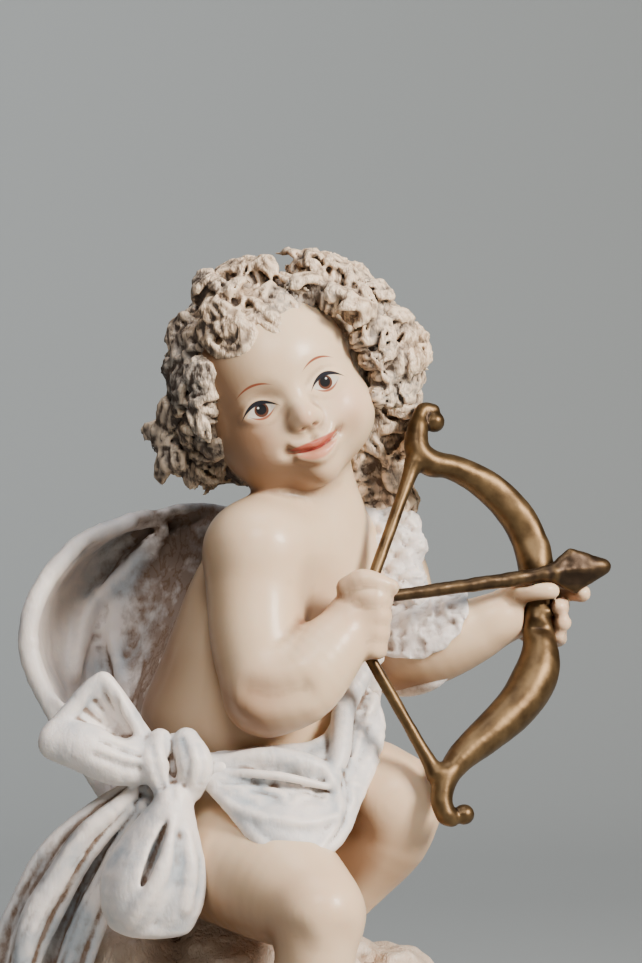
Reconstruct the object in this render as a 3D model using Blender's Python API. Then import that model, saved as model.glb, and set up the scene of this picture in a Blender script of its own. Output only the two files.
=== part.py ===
"""Seated cherub figurine drawing a bow: the cast figure on its rock, the bow with its string, and the arrow.

Metres, +Z up, underside of the rock at Z = 0, the viewer of the photograph on the -Y side.
The pose is laid out on a grid of 215 parts to the figure's height. Fits and wall sizes are named in metres.
"""

import math

import bmesh
import bpy
import numpy as np
from mathutils import Vector, noise

# Driving dimensions in metres
FIGURE_HEIGHT = 0.215  # underside of the rock to the top curl
BOW_CLEARANCE = 0.0004  # air all round the bow, its string and the arrow where they pass the hands
STRING_RADIUS = 0.0014  # the cast string is a thick bar
ARROW_RADIUS = 0.0013  # at the nock
ARROW_GAP = 0.0005  # air between the shaft and the front of the bow
CLOTH = 0.0024  # thickness of the cast scarf
MODEL_CELL = 0.0009  # cell of the voxel union that joins the modelled shapes
FIGURE_TRIANGLES = 7800

PART = FIGURE_HEIGHT / 215
GOLDEN_ANGLE = math.pi * (3 - math.sqrt(5))

# The head: rolled in the picture plane, then turned towards the bow
HEAD_ROLL = math.radians(24)
HEAD_TURN = math.radians(10)
HEAD_CENTRE = np.array([-3.1, -5.9, 184.6])
HEAD_UP = np.array([-math.sin(HEAD_ROLL), 0, math.cos(HEAD_ROLL)])
ROLLED_ACROSS = np.array([math.cos(HEAD_ROLL), 0, math.sin(HEAD_ROLL)])
HEAD_FORWARD = math.sin(HEAD_TURN) * ROLLED_ACROSS + math.cos(HEAD_TURN) * np.array([0, -1, 0])
HEAD_ACROSS = math.cos(HEAD_TURN) * ROLLED_ACROSS + math.sin(HEAD_TURN) * np.array([0, 1, 0])
HEAD_AXES = np.stack([HEAD_ACROSS, HEAD_FORWARD, HEAD_UP])

# Joints of the body, in parts
NECK = (6, -1, 156)
CHEST = (-2.5, 0, 136)
BELLY = (-9.5, 0, 111)
PELVIS = (-9, 3, 91)
NEAR_SHOULDER = (-6.7, -17, 149)
NEAR_ELBOW = (-4.6, -27, 119.5)
NEAR_FIST = (15, -22.5, 135)
FAR_SHOULDER = (19, 15, 146)
FAR_ELBOW = (23.9, 5, 127.4)
FAR_WRIST = (47, -2.5, 134.6)
NEAR_HIP = (-16.3, -11, 85.2)
NEAR_KNEE = (6.3, -41, 74)
NEAR_ANKLE = (5, -36, 32)
FAR_HIP = (2, 8, 92)
FAR_KNEE = (22.3, -12, 94.6)
FAR_ANKLE = (1, -5, 62)
KNOT = (-24, -25.5, 104.3)

# The bow lies in one leaning plane through its grip and the drawn string
STRING_TOP = (27.4, 168.5)
STRING_NOCK = (14, 132.6)
STRING_FOOT = (31.6, 102)
ARROW_NOCK = (20, 139.5)
ARROW_TIP = (70.5, 146)
ARROW_HEAD_LENGTH = 12.5
GRIP = (54.6, 138.5)
WAIST_RADIUS = 3.7  # of the limb above the grip, where the arrow crosses in front of it


def spline(rows, count):
    """Points of a smooth curve through the rows; a row may carry sizes after its place."""
    rows = np.asarray(rows, float)
    around = np.vstack([2 * rows[0] - rows[1], rows, 2 * rows[-1] - rows[-2]])
    t = np.linspace(0, len(rows) - 1, count)
    i = np.minimum(t.astype(int), len(rows) - 2)
    f = (t - i)[:, None]
    a, b, c, d = (around[i + k] for k in range(4))
    return 0.5 * (2 * b + (c - a) * f + (2 * a - 5 * b + 4 * c - d) * f**2 + (3 * b - a - 3 * c + d) * f**3)


def unit(v):
    v = np.asarray(v, float)
    return v / np.linalg.norm(v)


def head_point(a, b, c):
    """A place on the head from its own across, forward and up."""
    return HEAD_CENTRE + a * HEAD_ACROSS + b * HEAD_FORWARD + c * HEAD_UP


def bow_point(x, z):
    """A place in the bow's plane."""
    return np.array([x, -17 + 0.391 * (x - 21) + 0.309 * (z - 138), z])


def add_faces(bm, rings, closed_ends=True):
    """Joins rings of points into one closed skin."""
    loops = [[bm.verts.new(Vector(p)) for p in ring] for ring in rings]
    sides = len(loops[0])
    for one, two in zip(loops, loops[1:]):
        for k in range(sides):
            bm.faces.new((one[k], one[(k + 1) % sides], two[(k + 1) % sides], two[k]))
    if closed_ends:
        bm.faces.new(reversed(loops[0]))
        bm.faces.new(loops[-1])


def sweep(bm, rows, rings=14, sides=12, across=None, flat=1.0, grooves=0, groove_depth=0.0):
    """A round-ended rod along rows of place and radius; flat squeezes it square to the across direction."""
    path = spline(rows, rings)
    centres = path[:, :3]
    radii = path[:, 3]
    runs = np.gradient(centres, axis=0)
    runs /= np.linalg.norm(runs, axis=1)[:, None]
    side = unit(across) if across is not None else unit(np.cross(runs[0], (0.31, 0.17, 0.93)))
    angles = np.arange(sides) * 2 * math.pi / sides
    loops = []
    for i, (centre, run, radius) in enumerate(zip(centres, runs, radii)):
        side = unit(side - run * side.dot(run))
        other = np.cross(run, side)
        shape = 1 - groove_depth * (0.5 + 0.5 * np.cos(grooves * angles))
        steps = [(0.0, 1.0)]
        if i == 0:
            steps = [(-0.86, 0.5), (-0.5, 0.86), (0.0, 1.0)]
        if i == rings - 1:
            steps = [(0.0, 1.0), (0.5, 0.86), (0.86, 0.5)]
        for along, share in steps:
            wide = radius * share * shape
            middle = centre + run * radius * min(flat, 1) * along
            ring = middle + np.outer(wide * np.cos(angles), side) + np.outer(wide * flat * np.sin(angles), other)
            loops.append(ring)
    add_faces(bm, loops)


def ball(bm, centre, radii, axes=None, tilt=0.0):
    """An ellipsoid; axes are rows of its own directions, tilt leans its up direction towards +X."""
    radii = np.ones(3) * radii
    if axes is None:
        axes = np.array([[math.cos(tilt), 0, -math.sin(tilt)], [0, 1, 0], [math.sin(tilt), 0, math.cos(tilt)]])
    made = bmesh.ops.create_icosphere(bm, subdivisions=3, radius=1)
    for vert in made["verts"]:
        vert.co = Vector(np.asarray(centre) + (np.array(vert.co) * radii) @ axes)


def head_ball(bm, a, b, c, radii):
    ball(bm, head_point(a, b, c), radii, HEAD_AXES)


def cloth(bm, rows, thickness, folds=0, fold_height=0.0, slant=0.0, count=(30, 24)):
    """A sheet of even thickness through a grid of places, with folds that run along its rows."""
    grid = np.asarray(rows, float)
    along = np.stack([spline(row, count[1]) for row in grid])
    sheet = np.stack([spline(along[:, k], count[0]) for k in range(count[1])], axis=1)
    normals = np.cross(np.gradient(sheet, axis=0), np.gradient(sheet, axis=1))
    normals /= np.linalg.norm(normals, axis=2)[:, :, None] + 1e-9
    u, v = np.meshgrid(np.linspace(0, 1, count[0]), np.linspace(0, 1, count[1]), indexing="ij")
    wave = fold_height * np.sin(2 * math.pi * folds * (u + slant * v)) * np.sin(math.pi * np.clip(v, 0.04, 1)) ** 0.5
    sheet = sheet + normals * wave[:, :, None]
    front = sheet + normals * thickness / 2
    back = sheet - normals * thickness / 2
    top = [[bm.verts.new(Vector(p)) for p in row] for row in front]
    low = [[bm.verts.new(Vector(p)) for p in row] for row in back]
    n, m = count
    for i in range(n - 1):
        for j in range(m - 1):
            bm.faces.new((top[i][j], top[i + 1][j], top[i + 1][j + 1], top[i][j + 1]))
            bm.faces.new((low[i][j + 1], low[i + 1][j + 1], low[i + 1][j], low[i][j]))
    for i in range(n - 1):
        bm.faces.new((top[i][0], low[i][0], low[i + 1][0], top[i + 1][0]))
        bm.faces.new((top[i + 1][m - 1], low[i + 1][m - 1], low[i][m - 1], top[i][m - 1]))
    for j in range(m - 1):
        bm.faces.new((top[0][j + 1], low[0][j + 1], low[0][j], top[0][j]))
        bm.faces.new((top[n - 1][j], low[n - 1][j], low[n - 1][j + 1], top[n - 1][j + 1]))


def curl(bm, centre, outward, size, thickness, turn, arc=4.6):
    """One C-shaped lock of hair lying on the scalp, thinning and lifting towards its tip."""
    outward = unit(outward)
    one = unit(np.cross(outward, (0.2, 0.3, 0.9)))
    two = np.cross(outward, one)
    rows = []
    for k in range(6):
        share = k / 5
        angle = turn + arc * share
        reach = size * (1 - 0.35 * share)
        place = centre + reach * (math.cos(angle) * one + math.sin(angle) * two)
        rows.append((*(place + outward * (1.4 * share - 0.8)), thickness * (1 - 0.35 * share)))
    sweep(bm, rows, rings=10, sides=8)


def add_head(bm):
    head_ball(bm, 0, -2, 3, (18.6, 21.2, 19.5))
    head_ball(bm, 0, 6, 5, (15.5, 13.2, 13.5))
    head_ball(bm, 0, 4.5, -8.5, (15.2, 13.2, 14.2))
    head_ball(bm, 0, 11.8, -19.3, (5.2, 4.8, 4.4))
    head_ball(bm, 0, 14, -12, (8, 5.6, 7))
    for side in (-1, 1):
        head_ball(bm, 8.8 * side, 8.5, -9.5, (8.4, 9, 8.8))
        head_ball(bm, 8 * side, 13, 1.8, (7, 5.4, 3.8))
        head_ball(bm, 7.6 * side, 13.6, -3, (4.6, 4.9, 3.2))
        head_ball(bm, 2.1 * side, 19.4, -9.2, 1.9)
    head_ball(bm, 0, 21, -8.4, 2.7)
    sweep(bm, [(*head_point(0, 17.5, -1), 1.9), (*head_point(0, 19.2, -5), 1.9), (*head_point(0, 20.8, -8), 2.2)], 6)
    lip = [(-6, 16.6, -13.2, 0.8), (-3, 18.6, -14.3, 1.3), (0, 19.4, -14.6, 1.5), (3, 18.6, -14.3, 1.3)]
    lip.append((6, 16.6, -13.2, 0.8))
    sweep(bm, [(*head_point(*row[:3]), row[3]) for row in lip], 12, 8)
    sweep(bm, [(*head_point(a, 18.2 - 0.07 * a * a, -17 + 0.05 * a * a), 1.5) for a in (-3.6, 0, 3.6)], 8, 8)


def is_hair(a, b, c):
    """Whether a direction from the middle of the head meets hair: not the face, not the nape."""
    face = b > 0.42 + 0.25 * max(c, 0) and c < 0.80
    return not face and c > -0.72 and not (b > 0.1 and c < -0.55)


def add_hair(bm):
    head_ball(bm, 2, -5, 3.5, (22, 20.5, 21.5))
    head_ball(bm, 13, -4, 1, (16.5, 14, 16))
    head_ball(bm, -9, -4, 0, (14.5, 14, 15))
    spots = 104
    for k in range(spots):
        c = 1 - 2 * (k + 0.5) / spots
        ring = math.sqrt(1 - c * c)
        a = ring * math.cos(k * GOLDEN_ANGLE)
        b = ring * math.sin(k * GOLDEN_ANGLE)
        if not is_hair(a, b, c):
            continue
        reach = 28.5 if a > 0 else 26 - 6 * max(c, 0)
        place = head_point(2.5 + reach * a, -4.5 + 22.5 * b, 2.5 + 24 * c)
        outward = a * HEAD_ACROSS + b * HEAD_FORWARD + c * HEAD_UP
        curl(bm, place, outward, 4.1 + 0.6 * math.sin(2.4 * k), 2.7, 1.7 * k)
    # the locks that fall on the forehead, either side of the parting
    sweep(bm, [(-12, -13, 205, 3.2), (-15.5, -18.5, 200.5, 3.2), (-14.5, -22.5, 195, 2.8), (-10, -24, 192, 2.4)], 10)
    sweep(bm, [(-9.5, -24, 192.5, 2.4), (-6.5, -24, 195, 2.2), (-8, -22, 198, 2)], 8)
    sweep(bm, [(-8, -14, 206, 3), (-4, -19.5, 202, 3), (-3, -22.5, 197.5, 2.2), (1.5, -21.8, 198.8, 1.3)], 10)
    sweep(bm, [(6, -13, 208, 3.4), (11, -19, 204, 3.4), (16, -19, 199, 3), (17.5, -16, 194, 2.4)], 10)
    # the mass that hangs behind the string down to the far shoulder
    for k in range(11):
        share = k / 10
        middle = np.array([22.5 - 4 * share, 6 + 5 * share, 184 - 30 * share])
        swing = 5.5 * math.sin(2.6 * k)
        place = middle + np.array([swing * 0.8, -2 + 2 * math.cos(2.6 * k), 0])
        ball(bm, middle, (6.5, 6, 5))
        curl(bm, place, (0.35, -0.9, 0.1), 3.3, 2.1, 1.9 * k)
    # the curls that stand out low on the near side
    for k in range(5):
        place = np.array([-27.5 + 2.6 * k, 1 + 1.5 * k, 176.5 - 2.6 * k])
        ball(bm, place + np.array([3, 3, 2]), 4.6)
        curl(bm, place, (-0.5, -0.85, -0.1), 3.4, 2.2, 2.2 * k + 1)


def add_body(bm):
    sweep(bm, [(1, -3, 170, 11), (4.5, -2.2, 162, 10.2), (*NECK, 11.5), (4, 0, 150, 15)], 12, 16)
    lean = 0.22
    ball(bm, CHEST, (20.3, 17.5, 20), tilt=lean)
    ball(bm, (-6, 0, 124), (20.8, 18.6, 16), tilt=lean)
    ball(bm, BELLY, (23.8, 20.5, 19.5))
    ball(bm, PELVIS, (22.5, 19.5, 17.5))
    for x in (2, 13):
        ball(bm, (x, -11 + 0.55 * (x - 2), 139 + 0.1 * x), (9, 7, 8))
    # near arm, drawing the string
    sweep(bm, [(3, -5, 151, 11), (*NEAR_SHOULDER, 11.6), (-7, -20.5, 138, 10.7), (-6.4, -24, 127.5, 9.8),
               (*NEAR_ELBOW, 9)], 18, 16)
    sweep(bm, [(*NEAR_ELBOW, 9), (2, -28, 121.8, 9.2), (8.3, -26.5, 128, 7.8), (12.6, -24.2, 133.2, 6.3)], 14, 16)
    # far arm, holding the bow
    sweep(bm, [(8, 6, 150, 11), (*FAR_SHOULDER, 10.7), (23, 10, 136, 9.6), (*FAR_ELBOW, 9.4)], 14, 14)
    sweep(bm, [(*FAR_ELBOW, 9.4), (31.1, 0.5, 128.3, 8.9), (39.9, -1.7, 131.3, 7.3), (*FAR_WRIST, 5.6)], 14, 16)
    # legs
    sweep(bm, [(*NEAR_HIP, 16.2), (-4.5, -26, 80.5, 14.2), (3.5, -36.5, 76.4, 11.2), (*NEAR_KNEE, 9.6)], 16, 16)
    sweep(bm, [(*NEAR_KNEE, 9.5), (5.6, -41.2, 64, 8.7), (4.8, -37.5, 53, 9.8), (4.8, -36.6, 42, 7.4),
               (*NEAR_ANKLE, 5.4)], 18, 14)
    sweep(bm, [(*FAR_HIP, 15), (11, 0.5, 94.8, 13.6), (17.5, -7.5, 96, 12), (*FAR_KNEE, 10.6)], 14, 16)
    sweep(bm, [(*FAR_KNEE, 10.2), (21.5, -11.5, 88, 9.6), (14, -8, 80, 9.6), (7, -6, 71, 8), (*FAR_ANKLE, 5.6)],
          16, 14)
    add_foot(bm, NEAR_ANKLE, (0.42, -0.9, -0.12))
    add_foot(bm, FAR_ANKLE, (0.62, -0.72, -0.3))


def add_foot(bm, ankle, toward):
    """A plump foot with five toes below an ankle."""
    run = unit(toward)
    side = unit(np.cross(run, (0, 0, 1)))
    ankle = np.asarray(ankle, float)
    heel = ankle - run * 2.5 + np.array([0, 0, -5.5])
    sole = heel + run * 15
    sweep(bm, [(*ankle, 5.4), (*heel, 5.2)], 6)
    sweep(bm, [(*heel, 5.4), (*(heel + run * 8), 6), (*sole, 5.6)], 8, across=side, flat=0.8)
    for k in range(5):
        spread = (k - 2) * 2.3
        ball(bm, sole + side * spread + run * (5 - 0.4 * abs(k - 1.2)), 2.3 - 0.15 * abs(k - 1))


def add_hands(bm):
    """The near fist closed on the string and the nock; the far hand closed round the grip."""
    fist = np.asarray(NEAR_FIST, float)
    ball(bm, fist + np.array([-0.5, -0.6, 0.5]), (5.6, 5.4, 7.6), tilt=0.35)
    for k in range(4):
        z = 6.2 - 3.9 * k
        knuckle = fist + np.array([0.2 + 0.9 * math.cos(k - 1), -5.2 + 0.3 * k, z])
        tip = fist + np.array([5.6 - 0.5 * k, -2.6, z - 0.6])
        sweep(bm, [(*knuckle, 2.1), (*(knuckle + np.array([3.2, -0.4, -0.2])), 2.1), (*tip, 2),
                   (*(fist + np.array([3.5, 1.5, z - 0.8])), 1.9)], 10, 10)
    sweep(bm, [(*(fist + np.array([-1.5, -2.5, 6.5])), 2.3), (*(fist + np.array([2, -3.5, 9])), 2.1),
               (*(fist + np.array([5, -2.8, 8])), 1.9)], 8, 10)
    wrist = np.asarray(FAR_WRIST, float)
    ball(bm, wrist + np.array([3.2, 0.6, 1.2]), (4.6, 4.4, 5.4))
    for k in range(4):
        z = 140 - 3.5 * k
        base = np.array([50.5, 1.6, 136 + 0.55 * (z - 136)])
        out = 1 - 0.08 * k
        rows = [(*base, 2.1), (55.2, 3, z, 1.9), (54.6 + 5.8 * out, -1.2, z + 0.4, 1.8)]
        rows.append((54.6 + 4.6 * out, -6.4, z - 0.3, 1.6))
        sweep(bm, rows, 10, 10)
    sweep(bm, [(48.5, -3.5, 138.5, 2.4), (51.5, -8, 140.6, 2.2), (56.4, -8.8, 140.2, 1.8)], 8, 10)


def add_scarf(bm):
    """One long scarf: sail behind the back, wrap on the far forearm, lap drape, knot, loops and tails."""
    thick = CLOTH / PART
    sail = [
        [(-26, 8, 100), (-33, 14, 97), (-38, 10, 94), (-41.1, 0, 94.9)],
        [(-29, 12, 115), (-42, 25, 112), (-51, 18, 112), (-53.5, 3, 114.8)],
        [(-24, 15, 128), (-42, 31, 127), (-54, 24, 127), (-58.6, 6, 127)],
        [(-17, 18, 140), (-39, 33, 141), (-51, 27, 141), (-57, 8, 138)],
        [(-10, 19, 150), (-31, 31, 152), (-43, 27, 152), (-48.4, 13, 150)],
        [(-6, 19, 156), (-20, 26, 158.5), (-31, 26, 158.5), (-37, 19, 155.5)],
    ]
    cloth(bm, sail, thick, folds=1.5, fold_height=1.2, slant=0.8, count=(34, 26))
    rim = [(*row[-1], 2) for row in sail]
    sweep(bm, rim, 24, 10)
    sweep(bm, [(-30, 25, 150, 2.2), (-38, 28, 140, 2.4), (-41, 25, 127, 2.2), (-37, 20, 114, 2)], 14, 8)
    # over the shoulders to the far forearm
    sweep(bm, [(-20, 24, 155, 3.4), (-6, 20, 155, 4), (8, 17, 155, 4.2), (18, 15, 154, 4.2), (24.5, 11, 148, 4),
               (27.5, 5, 139, 4)], 20, 10)
    forearm = spline([(24.5, 4, 128.6, 10.4), (31.5, 0.4, 129.2, 10.2), (38.6, -1.6, 131.6, 8.6)], 9)
    for k, row in enumerate(forearm):
        ball(bm, row[:3], (2.4, row[3] * (1 + 0.05 * (-1) ** k), row[3] * (1 + 0.05 * (-1) ** k)), tilt=0.25)
    lap = [
        [(-20, -25, 104.5), (-20.5, -28.5, 102), (-20.5, -28, 98)],
        [(-12, -23, 105.5), (-12.5, -30.5, 99.5), (-13, -32.5, 92)],
        [(-3, -23, 106.5), (-3, -33, 97), (-2, -38, 87.5)],
        [(6, -20, 107), (6.5, -29, 97.5), (6.5, -35, 88)],
        [(12, -16.5, 111), (14, -20.5, 102), (13, -25.5, 93.5)],
        [(16, -11, 116.5), (19.5, -15, 109.5), (18.5, -21, 101)],
    ]
    cloth(bm, lap, thick + 1.2, folds=2.5, fold_height=0.9, slant=0.6, count=(30, 16))
    sweep(bm, [(-17, -26.5, 103.5, 2.4), (-6, -30, 101, 2.2), (5, -29, 100, 2)], 12, 8)
    # band round the waist
    belt = []
    for k in range(9):
        angle = math.radians(-125 - 28 * k)
        belt.append((-9.5 + 23.4 * math.cos(angle), 2 + 20.5 * math.sin(angle), 103.5 + 0.5 * k, 3.2))
    sweep(bm, belt, 30, 8)
    knot = np.asarray(KNOT, float)
    ball(bm, knot, (6.2, 5.2, 6.6))
    sweep(bm, [(*(knot + (-3.6, -2.5, 4.6)), 2.8), (*(knot + (-3.8, -4.2, 0)), 3), (*(knot + (-2.2, -3.2, -4.6)), 2.6)], 8)
    sweep(bm, [(*(knot + (3.2, -1.8, 5)), 3), (*(knot + (4.2, -3.4, 0)), 3.2), (*(knot + (2.6, -2.8, -4.4)), 2.8)], 8)
    # the loop that stands up to the left, and the one that hangs
    high = [(*(knot + (-5, -0.5, 1)), 4), (-34.5, -26, 107.5, 7.6), (-39.5, -26.5, 112, 10.6), (-45, -27, 110.8, 7.6),
            (-49.5, -27, 107.8, 3.4)]
    sweep(bm, high, 16, 14, across=(0.45, 0, 0.9), flat=0.42, grooves=2, groove_depth=0.12)
    sweep(bm, [(-31, -29, 105, 2.2), (-38, -30, 107, 2.4), (-46, -30.5, 107.5, 2.6), (-51.5, -28, 108.8, 2.4)], 12, 8)
    hang = [(*(knot + (-0.5, -2.5, -5)), 3.4), (-26.5, -31.5, 90, 6), (-27.8, -33, 82, 9.8), (-28.3, -32.5, 75, 10.6),
            (-27.8, -31.5, 70, 6)]
    sweep(bm, hang, 16, 16, across=(1, 0, 0.05), flat=0.42, grooves=3, groove_depth=0.12)
    # the two tails
    outer = [
        [(-31, -24, 101), (-33, -26, 98), (-34, -26, 95)],
        [(-42, -23, 94), (-42.5, -27, 90), (-42, -25, 85.5)],
        [(-52, -21, 85), (-50.5, -25.5, 80), (-48, -23, 75)],
        [(-60, -19, 72), (-57, -24, 67), (-54, -22, 62.5)],
        [(-65, -17, 57), (-61, -21, 53), (-57.5, -20, 50)],
    ]
    cloth(bm, outer, thick, folds=0.5, fold_height=0.6, count=(22, 12))
    inner = [
        [(-30, -24, 98), (-31, -25.5, 95), (-30.5, -25, 92)],
        [(-39, -19, 88), (-38, -23.5, 84), (-36, -23, 80)],
        [(-46, -16, 76), (-44, -21, 72), (-41, -21, 68)],
        [(-52, -15, 62), (-49, -20, 58), (-45.5, -20, 54)],
        [(-53, -14, 52), (-49, -18, 49), (-45, -18, 47)],
    ]
    cloth(bm, inner, thick, folds=0.5, fold_height=0.6, count=(22, 12))


def crag(bm, centre, radii):
    """A boulder: an ellipsoid roughened by one noise that runs through all the boulders."""
    made = bmesh.ops.create_icosphere(bm, subdivisions=4, radius=1)
    for vert in made["verts"]:
        outward = vert.co.copy()
        place = Vector(centre) + outward * Vector(radii)
        rough = 3.6 * noise.noise(place / 15) + 1.8 * noise.noise(place / 6)
        vert.co = place + outward * rough


def add_rock(bm):
    """A mound under the seat with a ledge for each foot and boulders round its sides."""
    crag(bm, (-10, 6, 38), (32, 30, 38))
    crag(bm, (-34, -5, 42), (19, 18, 27))
    crag(bm, (17, 17, 30), (23, 21, 31))
    crag(bm, (7, -13, 24), (20, 20, 26))
    crag(bm, (9, -42, 3), (19, 16, 17))
    crag(bm, (-5, -3, 2), (51, 45, 20))
    boulders = 34
    for k in range(boulders):
        share = k / boulders
        angle = k * GOLDEN_ANGLE
        reach = 44 - 20 * share
        size = 12 + 3 * math.sin(3.7 * k) - 2 * share
        place = (-6 + 1.06 * reach * math.cos(angle), -2 + 0.92 * reach * math.sin(angle), 3 + 44 * share)
        crag(bm, place, (size, size * 0.95, size * 0.8))


def largest_shell(mesh):
    """Keeps the biggest connected skin of a mesh, so no cavity or crumb is left."""
    bm = bmesh.new()
    bm.from_mesh(mesh)
    bm.verts.ensure_lookup_table()
    seen = set()
    shells = []
    for start in bm.verts:
        if start in seen:
            continue
        seen.add(start)
        shell = [start]
        for vert in shell:
            for edge in vert.link_edges:
                other = edge.other_vert(vert)
                if other not in seen:
                    seen.add(other)
                    shell.append(other)
        shells.append(shell)
    shells.sort(key=len, reverse=True)
    bmesh.ops.delete(bm, geom=[v for shell in shells[1:] for v in shell], context="VERTS")
    bm.to_mesh(mesh)
    bm.free()


def new_object(name, bm, colour=None, roughness=0.5, metallic=0.0):
    """A scene object from shapes laid out in parts."""
    bmesh.ops.scale(bm, vec=(PART, PART, PART), verts=bm.verts)
    bmesh.ops.recalc_face_normals(bm, faces=bm.faces)
    mesh = bpy.data.meshes.new(name)
    bm.to_mesh(mesh)
    bm.free()
    made = bpy.data.objects.new(name, mesh)
    bpy.context.scene.collection.objects.link(made)
    if colour:
        material = bpy.data.materials.new(name + "_finish")
        material.use_nodes = True
        shader = material.node_tree.nodes["Principled BSDF"]
        shader.inputs["Base Color"].default_value = (*colour, 1)
        shader.inputs["Roughness"].default_value = roughness
        shader.inputs["Metallic"].default_value = metallic
        mesh.materials.append(material)
    return made


def cutter(name, bm):
    made = new_object(name, bm)
    made.hide_render = True
    made.display_type = "WIRE"
    return made


def subtract(target, tool, operation="DIFFERENCE"):
    modifier = target.modifiers.new(tool.name, "BOOLEAN")
    modifier.operation = operation
    modifier.solver = "EXACT"
    modifier.object = tool


def settle(target):
    """Replaces an object's mesh by what its modifiers make of it."""
    graph = bpy.context.evaluated_depsgraph_get()
    mesh = bpy.data.meshes.new_from_object(target.evaluated_get(graph))
    target.modifiers.clear()
    target.data = mesh
    return mesh


def bow_rows():
    """The bow's own line from the upper scroll through the grip to the lower scroll: place and radius."""
    line = [
        (32.4, 177.9, 1.9), (31.8, 180.4, 1.5), (29.6, 180.5, 1.6), (28.3, 177.4, 1.8), (28, 172.6, 2.3),
        (30.2, 168.9, 2.6), (36.4, 167.6, 2.9), (43.9, 163.6, 3.5), (50.1, 157.4, 3.9), (53.4, 151, 3.9),
        (54.6, 146.2, WAIST_RADIUS), (54.6, 138.5, 2.9), (54.5, 131.6, 2.7), (55.3, 126.6, 4), (54.1, 121.6, 4.6),
        (49.8, 115.5, 4.3), (43, 109.8, 3.7), (36.8, 104.8, 3.1), (33.2, 99.4, 2.1), (32.7, 95.2, 1.7),
        (35, 92.4, 1.7), (37.8, 93.2, 2),
    ]
    return [(*bow_point(x, z), radius) for x, z, radius in line]


def string_rows(extra=0.0):
    """The two bars of the drawn string."""
    radius = STRING_RADIUS / PART + extra
    nock = bow_point(*STRING_NOCK)
    return [[(*bow_point(*end), radius), (*nock, radius)] for end in (STRING_TOP, STRING_FOOT)]


def arrow_rows(extra=0.0):
    """The shaft from the nock to the root of its head; it passes in front of the bow's grip."""
    nock = bow_point(*ARROW_NOCK)
    front = bow_point(GRIP[0], 146.2)[1] - 1.09 * (WAIST_RADIUS + 1.4 * ARROW_RADIUS / PART) - ARROW_GAP / PART
    run = (front - nock[1]) / (GRIP[0] - ARROW_NOCK[0])
    root_share = 1 - ARROW_HEAD_LENGTH / (ARROW_TIP[0] - ARROW_NOCK[0])
    rows = []
    for share in (0, 0.5 * root_share, root_share, 1):
        x = ARROW_NOCK[0] + share * (ARROW_TIP[0] - ARROW_NOCK[0])
        z = ARROW_NOCK[1] + share * (ARROW_TIP[1] - ARROW_NOCK[1])
        y = nock[1] + run * (x - ARROW_NOCK[0])
        rows.append((x, y, z, (ARROW_RADIUS / PART) * (1 + 0.45 * share) + extra))
    return rows


def main():
    for old in list(bpy.data.objects):
        bpy.data.objects.remove(old)

    shapes = bmesh.new()
    add_head(shapes)
    add_hair(shapes)
    add_body(shapes)
    add_hands(shapes)
    add_scarf(shapes)
    add_rock(shapes)
    cherub = new_object("cherub", shapes, (0.83, 0.70, 0.58), 0.55)
    finish = cherub.data.materials[0]
    union = cherub.modifiers.new("union", "REMESH")
    union.mode = "VOXEL"
    union.voxel_size = MODEL_CELL
    soften = cherub.modifiers.new("soften", "SMOOTH")
    soften.factor = 0.5
    soften.iterations = 2
    mesh = settle(cherub)
    largest_shell(mesh)
    thin_out = cherub.modifiers.new("thin out", "DECIMATE")
    thin_out.ratio = FIGURE_TRIANGLES / (2 * len(mesh.polygons))
    settle(cherub)
    cherub.data.materials.clear()
    cherub.data.materials.append(finish)

    room = BOW_CLEARANCE / PART
    below = bmesh.new()
    bmesh.ops.create_cube(below, size=1)
    bmesh.ops.scale(below, vec=(300, 300, 60), verts=below.verts)
    bmesh.ops.translate(below, vec=(0, 0, -30), verts=below.verts)
    subtract(cherub, cutter("cut_underside", below))
    passage = bmesh.new()
    sweep(passage, [(x, y, z, r + room) for x, y, z, r in bow_rows()], 60, 10)
    subtract(cherub, cutter("cut_bow", passage))
    for k, rows in enumerate(string_rows(room)):
        groove = bmesh.new()
        sweep(groove, rows, 3, 10)
        subtract(cherub, cutter(f"cut_string_{k}", groove))
    rows = arrow_rows(room)
    groove = bmesh.new()
    sweep(groove, rows[:3], 5, 10)
    subtract(cherub, cutter("cut_shaft", groove))

    limb = bmesh.new()
    sweep(limb, bow_rows(), 56, 10)
    bow = new_object("bow", limb, (0.36, 0.24, 0.10), 0.42, 0.9)
    for k, rows in enumerate(string_rows()):
        bar = bmesh.new()
        sweep(bar, rows, 3, 8)
        subtract(bow, cutter(f"string_{k}", bar), "UNION")

    shaft = bmesh.new()
    rows = arrow_rows()
    sweep(shaft, rows[:3], 6, 8)
    arrow = new_object("arrow", shaft, (0.34, 0.22, 0.10), 0.42, 0.9)
    head = bmesh.new()
    root = np.array(rows[2][:3])
    tip = np.array(rows[3][:3])
    run = unit(tip - root)
    up = unit(np.array([0, 0, 1]) - run * run[2])
    wide = np.cross(run, up)
    length = np.linalg.norm(tip - root)
    loops = []
    for share, high, deep in ((-0.12, 1.4, 1.4), (0.02, 2.2, 1.9), (0.42, 4.9, 2.5), (0.62, 4.3, 2.3), (0.99, 0.7, 0.6)):
        middle = root + run * length * share
        loops.append([middle + up * high, middle + wide * deep, middle - up * high, middle - wide * deep])
    add_faces(head, loops)
    subtract(arrow, cutter("arrow_head", head), "UNION")


main()
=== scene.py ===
"""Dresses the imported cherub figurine: a modelled and painted casting, a bronze-painted bow, and a studio.

The pose is laid out in parts, 215 to the figure's height, with -Y towards the viewer of the photograph.
"""

import math
from functools import partial

import bpy
import numpy as np
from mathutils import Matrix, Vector, noise


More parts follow.
